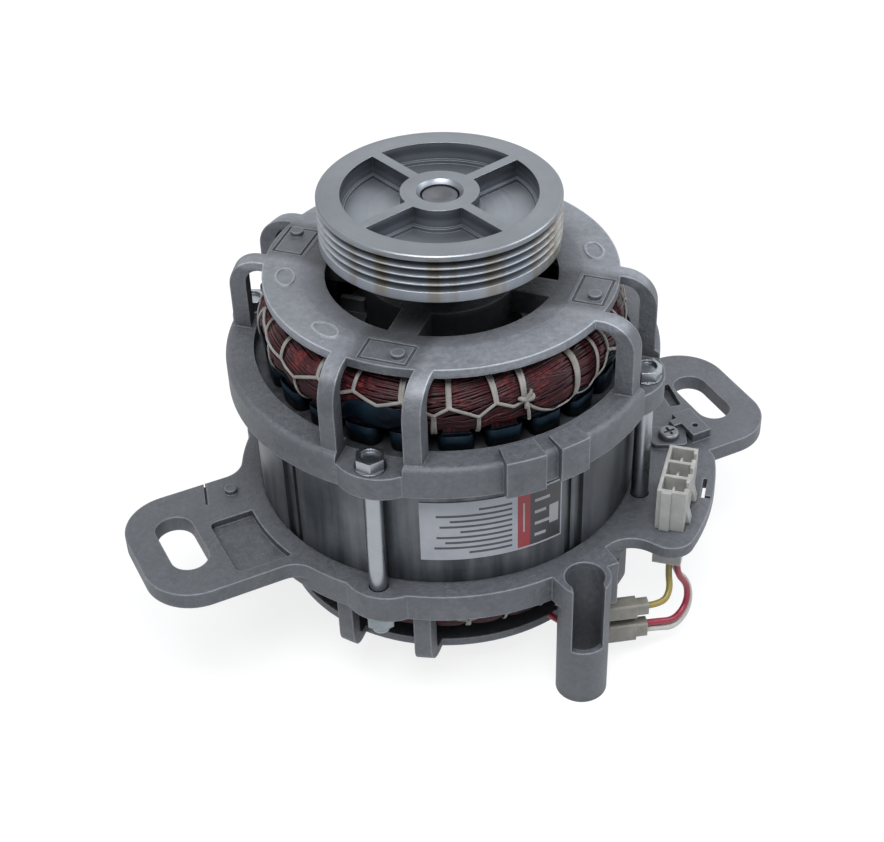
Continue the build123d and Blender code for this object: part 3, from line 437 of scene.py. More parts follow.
def ramp(tree, factor, *stops):
    """Colour that blends between stops, each given as a place from 0 to 1 and a colour."""
    node = tree.nodes.new("ShaderNodeValToRGB")
    tree.links.new(factor, node.inputs[0])
    elements = node.color_ramp.elements
    while len(elements) < len(stops):
        elements.new(0.5)
    for element, (position, colour) in zip(elements, stops):
        element.position = position
        element.color = (*colour, 1)
    return node.outputs["Color"]


def between(tree, factor, low, high, start=0.3, end=0.7):
    """Value that goes from low to high while the factor goes from start to end."""
    node = tree.nodes.new("ShaderNodeMapRange")
    tree.links.new(factor, node.inputs["Value"])
    node.inputs["From Min"].default_value = start
    node.inputs["From Max"].default_value = end
    node.inputs["To Min"].default_value = low
    node.inputs["To Max"].default_value = high
    return node.outputs[0]


def soft_edges(tree, radius):
    """Normal that rounds each edge over a radius."""
    node = tree.nodes.new("ShaderNodeBevel")
    node.samples = edge_samples
    node.inputs["Radius"].default_value = radius
    return node.outputs[0]


def shaded(tree, colour, *factors):
    """The colour times each of the factors."""
    for factor in factors:
        colour = vector_maths(tree, "SCALE", colour, factor, "Scale").outputs[0]
    return colour


def painted_crevice_shade(tree, reach, darkest):
    """Painted shade: a factor that falls to the darkest value in corners and narrow gaps."""
    node = tree.nodes.new("ShaderNodeAmbientOcclusion")
    node.samples = edge_samples
    node.inputs["Distance"].default_value = reach
    return between(tree, node.outputs["AO"], darkest, 1.0, start=0.15, end=0.85)


def edge_wear_and_highlight(tree, rounded, brightest):
    """Factor over 1 where the rounded normal leaves the face's own: a painted highlight along edges, with
    some wear on handled edges.
    """
    own = tree.nodes.new("ShaderNodeNewGeometry").outputs["Normal"]
    likeness = vector_maths(tree, "DOT_PRODUCT", rounded, own).outputs["Value"]
    return between(tree, likeness, brightest, 1.0, start=0.90, end=0.998)


def radius_and_height(tree):
    """Distance from the shaft's axis, and height."""
    outputs = axes(tree, round_places(tree))
    return outputs[0], outputs[2]


def clouded(tree, scale, low, high, start=0.32, end=0.68):
    """Cloudy noise, and a colour that goes with it from the low to the high one."""
    cloud = clouds(tree, scale)
    return cloud, ramp(tree, cloud, (start, low), (end, high))


def bump(tree, height, distance, strength=1.0, normal=None):
    node = tree.nodes.new("ShaderNodeBump")
    node.inputs["Strength"].default_value = strength
    node.inputs["Distance"].default_value = distance
    tree.links.new(height, node.inputs["Height"])
    if normal is not None:
        tree.links.new(normal, node.inputs["Normal"])
    return node.outputs[0]


def finish(name, **constants):
    """New material with its shader's constant inputs set. Returns the material and its tree."""
    material = bpy.data.materials.new(name)
    material.use_nodes = True
    tree = material.node_tree
    shader = tree.nodes["Principled BSDF"]
    for key, value in constants.items():
        shader.inputs[key.replace("_", " ")].default_value = value
    return material, tree


def complete(material, tree, colour, roughness, normal, **others):
    """Links the shader's inputs. Returns the material."""
    shader = tree.nodes["Principled BSDF"]
    outputs = {"Base Color": colour, "Roughness": roughness, "Normal": normal, **others}
    for name, output in outputs.items():
        tree.links.new(output, shader.inputs[name])
    return material


# Materials

def ring_sheen(tree, height):
    """Factor over 1 on the upper ring between its pads: painted sheen on the ring's face."""
    outputs = axes(tree, mapped(tree, "Rotation", (0, 0, -radians(pad_first_angle))))
    aside = maths(tree, "MINIMUM", maths(tree, "ABSOLUTE", outputs[0]),
                  maths(tree, "ABSOLUTE", outputs[1]))
    between_pads = between(tree, aside, 0.0, ring_sheen_gain, pad_half_width, bright_from)
    on_top = between(tree, height, 0.0, 1.0, ring_face_low, ring_face_high)
    return maths(tree, "ADD", maths(tree, "MULTIPLY", between_pads, on_top), 1.0)


def cast_aluminium():
    material, tree = finish("cast_aluminium", Metallic=0.35, Specular_IOR_Level=0.4)
    cloud = noise(tree, places(tree), 45, 5, 0.6)
    grain = noise(tree, places(tree), 1500, 2, 0.6)
    speck = noise(tree, places(tree), 620, 5, 0.75)
    tone = blended(tree, cloud, speck, 0.65)
    colour = ramp(tree, tone, (0.36, (0.094, 0.100, 0.113)), (0.50, (0.118, 0.125, 0.139)),
                  (0.64, (0.150, 0.158, 0.173)))
    stains = between(tree, noise(tree, places(tree), 70, 6, 0.7), 0.82, 1.0, 0.34, 0.46)
    rounded = soft_edges(tree, radius=0.7 * mm)
    radius, height = radius_and_height(tree)
    # Painted shade on the hub under the pulley, above hub_low
    hub_shade = between(tree, radius, hub_shade_darkest, 1.0, hub_shade_inner_r, hub_shade_outer_r)
    below_hub = maths(tree, "LESS_THAN", height, hub_low)
    # Painted shade in crevices, painted highlight with some wear on edges, real stains, painted hub shade
    # and painted sheen on the ring
    colour = shaded(tree, colour, painted_crevice_shade(tree, reach=9 * mm, darkest=0.58),
                    painted_crevice_shade(tree, reach=1.4 * mm, darkest=0.3),
                    edge_wear_and_highlight(tree, rounded, brightest=2.2), stains,
                    maths(tree, "MAXIMUM", hub_shade, below_hub), ring_sheen(tree, height))
    rough = bump(tree, grain, 0.1 * mm, 0.9, bump(tree, speck, 0.4 * mm, 0.8, rounded))
    return complete(material, tree, colour, between(tree, speck, 0.42, 0.62), rough)


def groove_streaks(tree):
    """Brown streaks in the grooves of the belt's track, in a few places round the pulley."""
    heading = vector_maths(tree, "NORMALIZE", mapped(tree, "Scale", (1, 1, 0))).outputs[0]
    streaks = noise(tree, heading, 3.2, 3, 0.6)
    radius, height = radius_and_height(tree)
    in_track = maths(tree, "GREATER_THAN", radius, track_r)
    below_top = maths(tree, "LESS_THAN", height, track_top)
    amount = maths(tree, "MULTIPLY", maths(tree, "MULTIPLY", in_track, below_top), streaks)
    return ramp(tree, amount, (0.49, (1.0, 1.0, 1.0)), (0.57, (0.88, 0.79, 0.66)),
                (0.72, (0.66, 0.54, 0.40)))


def turning_tangent(tree):
    """Direction of the lathe's lines, round the shaft."""
    tangent = tree.nodes.new("ShaderNodeTangent")
    tangent.direction_type = "RADIAL"
    tangent.axis = "Z"
    return tangent.outputs[0]


def turned_aluminium():
    material, tree = finish("turned_aluminium", Metallic=1.0, Anisotropic=0.45)
    lines = noise(tree, round_places(tree), 9000, 2, 0.5)
    broad = noise(tree, round_places(tree), 700, 2, 0.5)
    colour = clouded(tree, 60, (0.175, 0.190, 0.214), (0.220, 0.235, 0.258), 0.30, 0.70)[1]
    rounded = soft_edges(tree, radius=0.2 * mm)
    radius, height = radius_and_height(tree)
    in_pocket = maths(tree, "MULTIPLY", between(tree, radius, 1.0, 0.0, pocket_r, pocket_wall_r),
                      between(tree, height, 1.0, 0.0, pocket_top, pocket_rim))
    streaked = vector_maths(tree, "MULTIPLY", colour, groove_streaks(tree)).outputs[0]
    # Painted shade in crevices and in the pockets, painted highlight with some wear on edges, and painted
    # light below the top
    colour = shaded(tree, streaked, painted_crevice_shade(tree, reach=7 * mm, darkest=0.5),
                    edge_wear_and_highlight(tree, rounded, brightest=1.4),
                    between(tree, height, under_top_light_gain, 1.0, under_top, machined_top),
                    between(tree, in_pocket, 1.0, pocket_shade, 0.0, 1.0))
    normal = bump(tree, lines, 0.012 * mm, 0.5, bump(tree, broad, 0.02 * mm, 0.35, rounded))
    roughness = maths(tree, "ADD", between(tree, broad, 0.30, 0.44),
                      between(tree, in_pocket, 0.0, pocket_roughness, 0.0, 1.0))
    return complete(material, tree, colour, roughness, normal, Tangent=turning_tangent(tree))


def lamination_steel():
    material, tree = finish("lamination_steel", Metallic=0.7)
    sheets = noise(tree, mapped(tree, "Scale", (0.02, 0.02, 1)), 2600, 1, 0.4)
    stain = noise(tree, places(tree), 38, 5, 0.65)
    runs = noise(tree, mapped(tree, "Scale", (1, 1, 0.08)), 130, 4, 0.6)
    tone = blended(tree, stain, runs, 0.65)
    colour = ramp(tree, tone, (0.40, (0.045, 0.050, 0.058)), (0.50, (0.088, 0.095, 0.105)),
                  (0.62, (0.150, 0.157, 0.167)))
    # Painted shade in crevices
    colour = shaded(tree, colour, painted_crevice_shade(tree, reach=5 * mm, darkest=0.6))
    normal = bump(tree, sheets, 0.06 * mm, 0.5, bump(tree, stain, 0.1 * mm, 0.3))
    return complete(material, tree, colour, between(tree, runs, 0.34, 0.52), normal)


def enamelled_copper():
    material, tree = finish("enamelled_copper", Coat_Weight=0.1, Coat_Roughness=0.2,
                            Specular_IOR_Level=0.16)
    patch = clouds(tree, 110)
    fine = grains(tree, 900)
    tone = blended(tree, patch, fine, 0.45)
    colour = ramp(tree, tone, (0.32, (0.014, 0.004, 0.007)), (0.53, (0.040, 0.006, 0.009)),
                  (0.70, (0.215, 0.034, 0.033)))
    # Painted shade in the gaps between the wires
    colour = shaded(tree, colour, painted_crevice_shade(tree, reach=3 * mm, darkest=0.1))
    normal = bump(tree, fine, 0.03 * mm, 0.25)
    return complete(material, tree, colour, between(tree, patch, 0.26, 0.42), normal)


def slot_wire():
    material, tree = finish("slot_wire", Metallic=0.4, Coat_Weight=0.3, Coat_Roughness=0.3)
    wires = noise(tree, mapped(tree, "Scale", (1, 1, 0.03)), 1300, 2, 0.5)
    colour = ramp(tree, wires, (0.38, (0.018, 0.006, 0.009)), (0.66, (0.120, 0.028, 0.028)))
    normal = bump(tree, wires, 0.35 * mm, 0.9)
    return complete(material, tree, colour, between(tree, wires, 0.5, 0.32), normal)


def insulation_film():
    material, tree = finish("insulation_film", Specular_IOR_Level=0.07)
    fine = grains(tree, 1200)
    shade, colour = clouded(tree, 130, (0.002, 0.004, 0.008), (0.006, 0.016, 0.026), 0.35, 0.65)
    rounded = soft_edges(tree, radius=0.25 * mm)
    # Painted shade in crevices, and painted highlight along the rims
    colour = shaded(tree, colour, painted_crevice_shade(tree, reach=5 * mm, darkest=0.1),
                    edge_wear_and_highlight(tree, rounded, brightest=3.5))
    normal = bump(tree, fine, 0.04 * mm, 0.3, bump(tree, shade, 0.4 * mm, 0.4, rounded))
    return complete(material, tree, colour, between(tree, shade, 0.32, 0.5), normal)


def lacing_cord():
    material, tree = finish("lacing_cord", Sheen_Weight=0.25)
    weave = noise(tree, places(tree), 2600, 2, 0.6)
    colour = clouded(tree, 140, (0.165, 0.152, 0.14), (0.31, 0.297, 0.275), 0.34, 0.68)[1]
    normal = bump(tree, weave, 0.12 * mm, 0.7)
    return complete(material, tree, colour, between(tree, weave, 0.6, 0.8), normal)


def zinc_plate():
    material, tree = finish("zinc_plate", Metallic=1.0)
    fine = grains(tree, 2400)
    cloud, colour = clouded(tree, 260, (0.19, 0.22, 0.235), (0.27, 0.305, 0.32))
    # Painted shade in crevices
    colour = shaded(tree, colour, painted_crevice_shade(tree, reach=8 * mm, darkest=0.25))
    normal = bump(tree, fine, 0.015 * mm, 0.35, soft_edges(tree, radius=0.3 * mm))
    return complete(material, tree, colour, between(tree, cloud, 0.24, 0.34), normal)


def threaded_zinc():
    """Zinc plate with a thread's ridges on the lower end of the shank."""
    material, tree = finish("threaded_zinc", Metallic=1.0)
    place = axes(tree, places(tree))[2]
    below = maths(tree, "LESS_THAN", place, thread_top)
    ridge = maths(tree, "PINGPONG", place, thread_pitch / 2)
    height = maths(tree, "MULTIPLY", ridge, below)
    cloud, colour = clouded(tree, 260, (0.315, 0.34, 0.37), (0.35, 0.37, 0.40))
    # Painted shade in crevices
    colour = shaded(tree, colour, painted_crevice_shade(tree, reach=5 * mm, darkest=0.5))
    normal = bump(tree, height, 1.0, 0.8, soft_edges(tree, radius=0.3 * mm))
    return complete(material, tree, colour, between(tree, cloud, 0.26, 0.32), normal)


def plain_steel(name, low, high, roughness):
    material, tree = finish(name, Metallic=1.0)
    ground = noise(tree, round_places(tree), 5000, 2, 0.5)
    cloud, colour = clouded(tree, 150, low, high)
    normal = bump(tree, ground, 0.01 * mm, 0.4, soft_edges(tree, radius=0.25 * mm))
    return complete(material, tree, colour, between(tree, cloud, roughness, roughness + 0.12), normal)


def nylon(name, low, high, depth):
    material, tree = finish(name, Subsurface_Weight=0.4, Subsurface_Scale=depth,
                            Subsurface_Radius=(1.0, 0.9, 0.75))
    fine = grains(tree, 1800)
    cloud, colour = clouded(tree, 190, low, high)
    normal = bump(tree, fine, 0.02 * mm, 0.3, soft_edges(tree, radius=0.35 * mm))
    return complete(material, tree, colour, between(tree, cloud, 0.34, 0.5), normal)


def lead_insulation(name, low, high):
    material, tree = finish(name, Coat_Weight=0.15, Coat_Roughness=0.3)
    fine = grains(tree, 2500)
    cloud, colour = clouded(tree, 240, low, high, 0.30, 0.70)
    normal = bump(tree, fine, 0.02 * mm, 0.4)
    return complete(material, tree, colour, between(tree, cloud, 0.34, 0.5), normal)


def film(name, low, high):
    material, tree = finish(name, Coat_Weight=0.1, Coat_Roughness=0.3)
    cloud, colour = clouded(tree, 120, low, high, 0.3, 0.7)
    normal = bump(tree, cloud, 0.05 * mm, 0.3)
    return complete(material, tree, colour, between(tree, cloud, 0.3, 0.45), normal)


def dress(material, *nodes):
    for name in nodes:
        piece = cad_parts[name]
        piece.data.materials.clear()
        piece.data.materials.append(material)


# Mesh helpers

def piece_from(name, points, faces, material):
    """Mesh that rides with the stator."""
    mesh = bpy.data.meshes.new(name)
    mesh.from_pydata([tuple(point) for point in points], [], faces)
    mesh.validate()
    mesh.shade_smooth()
    mesh.materials.append(material)
    piece = bpy.data.objects.new(name, mesh)
    bpy.context.scene.collection.objects.link(piece)
    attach(piece, "stator")
    return piece


def strip_faces(faces, start, count):
    """Faces of a thin strip between four rows of points: outer low and high, inner low and high."""
    outer_low, outer_high, inner_low, inner_high = (start + count * row for row in range(4))
    end = count - 1
    for step in range(end):
        for low, high in ((outer_low, outer_high), (inner_high, inner_low),
                          (outer_high, inner_high), (inner_low, outer_low)):
            faces.append((low + step, low + step + 1, high + step + 1, high + step))
    faces.append((outer_low, outer_high, inner_high, inner_low))
    faces.append((outer_low + end, inner_low + end, inner_high + end, outer_high + end))


class Sweeps:
    """Collects tubes of oval section and keeps them as one mesh."""

    def __init__(self):
        self.points = []
        self.faces = []

    def add(self, path, outward, half_width, half_height, sides, closed=False):
        path = np.asarray(path, float)
        outward = np.asarray(outward, float)
        if closed:
            ahead = np.roll(path, -1, 0) - np.roll(path, 1, 0)
        else:
            ahead = np.gradient(path, axis=0)
        ahead /= np.linalg.norm(ahead, axis=1, keepdims=True)
        across = np.cross(ahead, outward)
        across /= np.linalg.norm(across, axis=1, keepdims=True)
        up = np.cross(across, ahead)
        start = len(self.points)
        for side in range(sides):
            turn = 2 * pi * side / sides
            ring = path + across * half_width * cos(turn) + up * half_height * sin(turn)
            self.points.extend(ring)
        count = len(path)
        last = count if closed else count - 1
        for side in range(sides):
            here = start + side * count
            there = start + (side + 1) % sides * count
            for step in range(last):
                following = (step + 1) % count
                self.faces.append((here + step, here + following, there + following, there + step))
        if not closed:
            self.faces.append([start + side * count for side in range(sides)][::-1])
            self.faces.append([start + side * count + count - 1 for side in range(sides)])

    def make(self, name, material, slot):
        return piece_from(name, self.points, self.faces, material)


# End windings

class Bundle:
    """Section of one end winding, whose outline the wires and the lacing follow."""

    def __init__(self, node, tie_angles):
        self.ties = np.radians(np.asarray(tie_angles))
        low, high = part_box(node)
        outer_r = high.x - bundle_outer_inset
        self.away = 1 if high.z > 0 else -1
        growth = bundle_core_side_growth
        self.mid_r = (outer_r + bundle_inner_r) / 2
        self.half_width = (outer_r - bundle_inner_r) / 2
        self.mid_z = (low.z + high.z) / 2 - self.away * growth / 2
        self.half_height = (high.z - low.z + growth) / 2

    def point(self, theta, turn, lift):
        """Turn 0 is the outer side, 0.25 the side away from the core, 0.5 the inner side."""
        apart = np.angle(np.exp(1j * (np.asarray(theta)[..., None] - self.ties)))
        nearest = np.abs(apart).min(-1) / radians(tie_squeeze_width)
        squeeze = 1 - tie_squeeze_share * np.exp(-nearest ** 2)
        across = np.cos(2 * pi * turn)
        along = np.sin(2 * pi * turn)
        reach = self.half_width * squeeze + lift
        rise = self.half_height * squeeze + lift
        radius = self.mid_r + np.sign(across) * np.abs(across) ** section_power * reach
        height = self.mid_z + self.away * np.sign(along) * np.abs(along) ** section_power * rise
        return np.stack([radius * np.cos(theta), radius * np.sin(theta), height + 0 * theta], -1)

    def outward(self, theta, turn):
        across = np.cos(2 * pi * turn)
        along = np.sin(2 * pi * turn) * self.away
        return np.stack([across * np.cos(theta), across * np.sin(theta), along + 0 * theta], -1)


def wander(rng, theta, size):
    """Smooth closed wandering round the ring, of about the given size."""
    total = np.zeros_like(theta)
    for waves in wander_waves:
        total += rng.normal(0, 1) / waves ** 0.5 * np.sin(waves * theta + rng.uniform(0, 2 * pi))
    return total * size / wander_spread


def end_winding(node, bundle, material, seed):
    """Wires that run right round the bundle, and shorter ones that slant over them."""
    rng = np.random.default_rng(seed)
    sweeps = Sweeps()
    theta = np.linspace(0, 2 * pi, strand_steps, endpoint=False)
    depth = strand_r + strand_sink
    common = wander(rng, theta, strand_common_wander)
    common += strand_swing_share * np.sin(strand_swing_waves * theta + radians(strand_swing_phase))
    for index in range(strand_count):
        turn = index / strand_count + common + wander(rng, theta, strand_wander_share / strand_count)
        lift = -depth + wander(rng, theta, strand_sink_wander)
        lift = np.minimum(lift, -strand_r)
        sweeps.add(bundle.point(theta, turn, lift), bundle.outward(theta, turn), strand_r, strand_r,
                   strand_sides, closed=True)
    for index in range(slanted_count):
        span = radians(rng.uniform(*slanted_spans))
        first = rng.uniform(0, 2 * pi)
        share = np.linspace(0, 1, slanted_steps)
        around = first + span * share
        slope = rng.choice([-1, 1]) * rng.uniform(*slanted_slopes)
        turn = rng.uniform(0, 1) + slope * share + slanted_wave * np.sin(6 * pi * share)
        cover = np.sin(pi * share) ** slanted_cover_power
        lift = -slanted_tuck + (slanted_tuck - strand_r) * cover
        sweeps.add(bundle.point(around, turn, lift), bundle.outward(around, turn), strand_r, strand_r,
                   strand_sides)
    return sweeps.make(node + "_wires", material, "enamelled_copper")


def winding_filler(name, bundle, material):
    """Solid core of the bundle, which closes the view between its outer wires."""
    points = []
    for step in range(filler_sections):
        theta = np.full(filler_corners, 2 * pi * step / filler_sections)
        turn = np.arange(filler_corners) / filler_corners
        points.extend(bundle.point(theta, turn, -filler_inset))
    faces = []
    for step in range(filler_sections):
        here = step * filler_corners
        there = (step + 1) % filler_sections * filler_corners
        for corner in range(filler_corners):
            side = (corner + 1) % filler_corners
            faces.append((here + corner, there + corner, there + side, here + side))
    return piece_from(name, points, faces, material)


def slot_angles():
    return [radians(slot_first_angle + 360 * index / slot_count) for index in range(slot_count)]


def rising_wires(name, bundle, foot_z, material, seed):
    """Wires that leave the slots and bend into the bundle."""
    rng = np.random.default_rng(seed)
    sweeps = Sweeps()
    share = np.linspace(0, 1, rise_steps)
    for angle in slot_angles():
        for row in range(rise_rows):
            for column in range(rise_columns):
                side = (column - (rise_columns - 1) / 2) * rise_column_gap
                foot_r = bundle.mid_r + rise_row_start + rise_row_gap * row
                lean = rng.normal(0, rise_scatter) + side
                across = side + (lean - side) * share ** 2
                radius = foot_r + (rise_outward - rise_row_inward * row) * share
                height = foot_z + (bundle.mid_z - foot_z) * share
                path = np.stack([radius * cos(angle) - across * sin(angle),
                                 radius * sin(angle) + across * cos(angle), height], -1)
                outward = np.tile([cos(angle), sin(angle), 0], (rise_steps, 1))
                sweeps.add(path, outward, strand_r, strand_r, strand_sides)
    return sweeps.make(name, material, "enamelled_copper")


# Film cuffs and sheets

def cuff_outline():
    """Half of a cuff's plan, from its inner end to the middle of its outer side: (radius, side)."""
    outline = [(cuff_inner_r, cuff_inner_half)]
    centre_r = cuff_outer_r - cuff_corner_r
    centre_side = cuff_outer_half - cuff_corner_r
    for step in range(cuff_corner_steps + 1):
        turn = pi / 2 * (1 - step / cuff_corner_steps)
        outline.append((centre_r + cuff_corner_r * cos(turn), centre_side + cuff_corner_r * sin(turn)))
    outline.append((cuff_outer_r, 0.0))
    return outline


def cuff_points(outline, angle, foot, away, flare, rise):
    """Points of one cuff: foot and rim of its outer skin, then foot and rim of its inner skin."""
    middle = (cuff_inner_r + cuff_outer_r) / 2
    points = []
    for shrink in (1, 1 - cuff_thickness / cuff_outer_half):
        for level in (0, 1):
            for index, (radius, side) in enumerate(outline):
                share = index / (len(outline) - 1)
                swell = level * flare
                local_r = middle + (radius - middle) * shrink + swell * (radius > middle)
                local_side = side * shrink + swell * np.sign(side)
                top = rise - cuff_scallop * (1 - sin(pi * share)) ** 2
                points.append((local_r * cos(angle) - local_side * sin(angle),
                               local_r * sin(angle) + local_side * cos(angle), foot + away * level * top))
    return points


def slot_cuffs(name, core_face, away, material):
    """A cuff at every slot, which stands on one face of the core."""
    half = cuff_outline()
    outline = half + [(radius, -side) for radius, side in half[-2::-1]]
    count = len(outline)
    points = []
    faces = []
    foot = core_face + away * cuff_core_gap
    for number, angle in enumerate(slot_angles()):
        start = len(points)
        flare = cuff_flare * (1 + sin(cuff_flare_wave * number))
        rise = cuff_rise + cuff_rise_swing * sin(cuff_rise_wave * number)
        points.extend(cuff_points(outline, angle, foot, away, flare, rise))
        strip_faces(faces, start, count)
    return piece_from(name, points, faces, material)


def phase_sheets(name, bundle, material):
    """Film between the coils, whose edge shows over the lower side of the bundle."""
    points = []
    faces = []
    for angle_from, angle_to, top_share in sheet_places:
        start = len(points)
        for column in range(sheet_columns):
            share = column / (sheet_columns - 1)
            theta = np.full(sheet_rows, radians(angle_from + (angle_to - angle_from) * share))
            edge = sheet_low_share + (top_share - sheet_low_share) * sin(pi * share) ** sheet_fullness
            turn = np.linspace(sheet_low_share, edge, sheet_rows)
            for lift in (sheet_lift, sheet_lift + cuff_thickness):
                points.extend(bundle.point(theta, turn, lift))
        for column in range(sheet_columns - 1):
            here = start + column * 2 * sheet_rows
            there = here + 2 * sheet_rows
            for row in range(sheet_rows - 1):
                outer = row + sheet_rows
                faces.append((here + outer, there + outer, there + outer + 1, here + outer + 1))
                faces.append((here + row + 1, there + row + 1, there + row, here + row))
            top = sheet_rows - 1
            outer = top + sheet_rows
            faces.append((here + outer, there + outer, there + top, here + top))
            faces.append((here, there, there + sheet_rows, here + sheet_rows))
        for column in (0, sheet_columns - 1):
            here = start + column * 2 * sheet_rows
            for row in range(sheet_rows - 1):
                outer = row + sheet_rows
                faces.append((here + row, here + row + 1, here + outer + 1, here + outer))
    return piece_from(name, points, faces, material)


# Lacing

def lace_run(sweeps, bundle, first, last, steps=lace_steps, width=lace_width):
    """Cord between two places on the bundle, each given as an angle and a turn."""
    share = np.linspace(0, 1, steps)
    theta = first[0] + (last[0] - first[0]) * share
    turn = first[1] + (last[1] - first[1]) * share
    sweeps.add(bundle.point(theta, turn, lace_lift), bundle.outward(theta, turn), width / 2,
               lace_thickness / 2, lace_sides)


def plain_nodes(rng, angle_from, angle_to):
    """Nodes of an even chain between two angles."""
    count = round(abs(angle_to - angle_from) / 360 * plain_node_count / 2) * 2
    nodes = []
    for index in range(count):
        angle = angle_from + (angle_to - angle_from) * (index + 0.5) / count
        angle += rng.normal(0, plain_angle_wander)
        is_peak = index % 2 == 0
        turn = (plain_peak_share if is_peak else plain_valley_share) + rng.normal(0, plain_share_wander)
        over = int(rng.integers(1, 3)) if is_peak else 0
        nodes.append((angle, turn, over, 0 if is_peak else 1, lace_width / mm))
    return nodes


def lacing_nodes(side, rng):
    if side == "lower":
        return plain_nodes(rng, 0, 360)
    gap_from = measured_nodes[-1][0]
    gap_to = measured_nodes[0][0] + 360
    return list(measured_nodes) + plain_nodes(rng, gap_from, gap_to)


def lacing(bundle, nodes, rng):
    """Chain round the bundle, and its ties over and under it."""
    sweeps = Sweeps()
    over_ends = []
    under_ends = []
    for index, (angle, turn, over, under, width) in enumerate(nodes):
        following = nodes[(index + 1) % len(nodes)]
        next_angle = following[0] + (360 if index == len(nodes) - 1 else 0)
        here = (radians(angle), turn)
        lace_run(sweeps, bundle, here, (radians(next_angle), following[1]))
        lean = rng.normal(0, tie_lean)
        for count, end_turn, ends in ((over, 0.5, over_ends), (under, -0.5, under_ends)):
            for cord in range(count):
                spread = (cord - (count - 1) / 2) * lace_pair_gap / bundle.mid_r
                end = (radians(angle) + spread + lean, end_turn)
                tie_foot = (here[0] + spread * tie_foot_spread, turn)
                lace_run(sweeps, bundle, tie_foot, end, tie_steps, width * mm)
                ends.append(end)
    for ends in (over_ends, under_ends):
        for first, last in zip(ends, ends[1:]):
            lace_run(sweeps, bundle, first, last)
    return sweeps


def lacing_knot(sweeps, bundle):
    """Overhand knot with two cut tails, where the lacing of the upper winding ends."""
    theta = radians(knot_angle)
    centre = bundle.point(np.array([theta]), np.array([knot_share]), lace_lift)[0]
    out = np.array([cos(theta), sin(theta), 0])
    side = np.array([-sin(theta), cos(theta), 0])
    up = np.array([0, 0, 1.0])
    loop = []
    for turn in np.linspace(0, 2 * pi, knot_steps, endpoint=False):
        lift = knot_lift + knot_r / 2 * sin(3 * turn)
        aside = knot_r * (sin(turn) + knot_ears * sin(2 * turn))
        rise = knot_r * (cos(turn) - knot_ears * cos(2 * turn))
        loop.append(centre + out * lift + side * aside + up * rise)
    sweeps.add(loop, np.tile(out, (knot_steps, 1)), knot_half_width, knot_half_thickness, lace_sides,
               closed=True)
    for reach, slide in knot_tails:
        tail = []
        for share in np.linspace(0, 1, lace_steps):
            lift = knot_lift + knot_tail_bulge * sin(pi * share)
            tail.append(centre + out * lift + up * reach * share + side * slide * share)
        sweeps.add(tail, np.tile(out, (lace_steps, 1)), lace_width / 2, lace_thickness / 2, lace_sides)


# Each end of the stator

def make_winding(side, seed, copper, film_blue, cord_white):
    """What shows of one end winding: its wires with their filler, cuffs, sheets and lacing."""
    rng = np.random.default_rng(seed + 2)
    nodes = lacing_nodes(side, rng)
    bundle = Bundle(side + "_end_winding", [node[0] for node in nodes if node[2]])
    wires = end_winding(side + "_end_winding", bundle, copper, seed)
    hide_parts(side + "_end_winding")
    winding_filler(side + "_winding_filler", bundle, copper)
    core_low, core_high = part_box("stator_core")
    wire_low, wire_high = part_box("slot_conductors")
    foot = wire_high.z if side == "upper" else wire_low.z
    rising_wires(side + "_rising_wires", bundle, foot - bundle.away * rise_foot_depth, copper, seed + 1)
    face = core_high.z if side == "upper" else core_low.z
    slot_cuffs(side + "_slot_cuffs", face, bundle.away, film_blue)
    laces = lacing(bundle, nodes, rng)
    if side == "upper":
        phase_sheets("upper_phase_sheets", bundle, film_blue)
        lacing_knot(laces, bundle)
    cord = laces.make(side + "_lacing_cord", cord_white, "lacing_cord")
    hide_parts(side + "_lacing")


# Leads

def cover_point(z, along, up=0.0):
    """Place in a terminal cover, counted along it from its winding end."""
    heading = radians(cover_heading)
    return (cover_x + along * cos(heading), cover_y + along * sin(heading), z + up)


def cover_exit(z, run, up=0.0):
    return [cover_point(z, cover_length + run, up), cover_point(z, cover_length, up)]


def route(*points):
    """Places given in millimetres."""
    return [(x * mm, y * mm, z * mm) for x, y, z in points]


def lead(name, node, points, material):
    curve = bpy.data.curves.new(name, "CURVE")
    curve.dimensions = "3D"
    spline = curve.splines.new("NURBS")
    spline.points.add(len(points) - 1)
    for point, place in zip(spline.points, points):
        point.co = (*place, 1)
    spline.order_u = 3
    spline.use_endpoint_u = True
    spline.resolution_u = 12
    curve.bevel_depth = lead_d / 2
    curve.bevel_resolution = 6
    curve.use_fill_caps = True
    curve.materials.append(material)
    piece = bpy.data.objects.new(name, curve)
    bpy.context.scene.collection.objects.link(piece)
    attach(piece, "stator")
    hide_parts(node)
    return piece


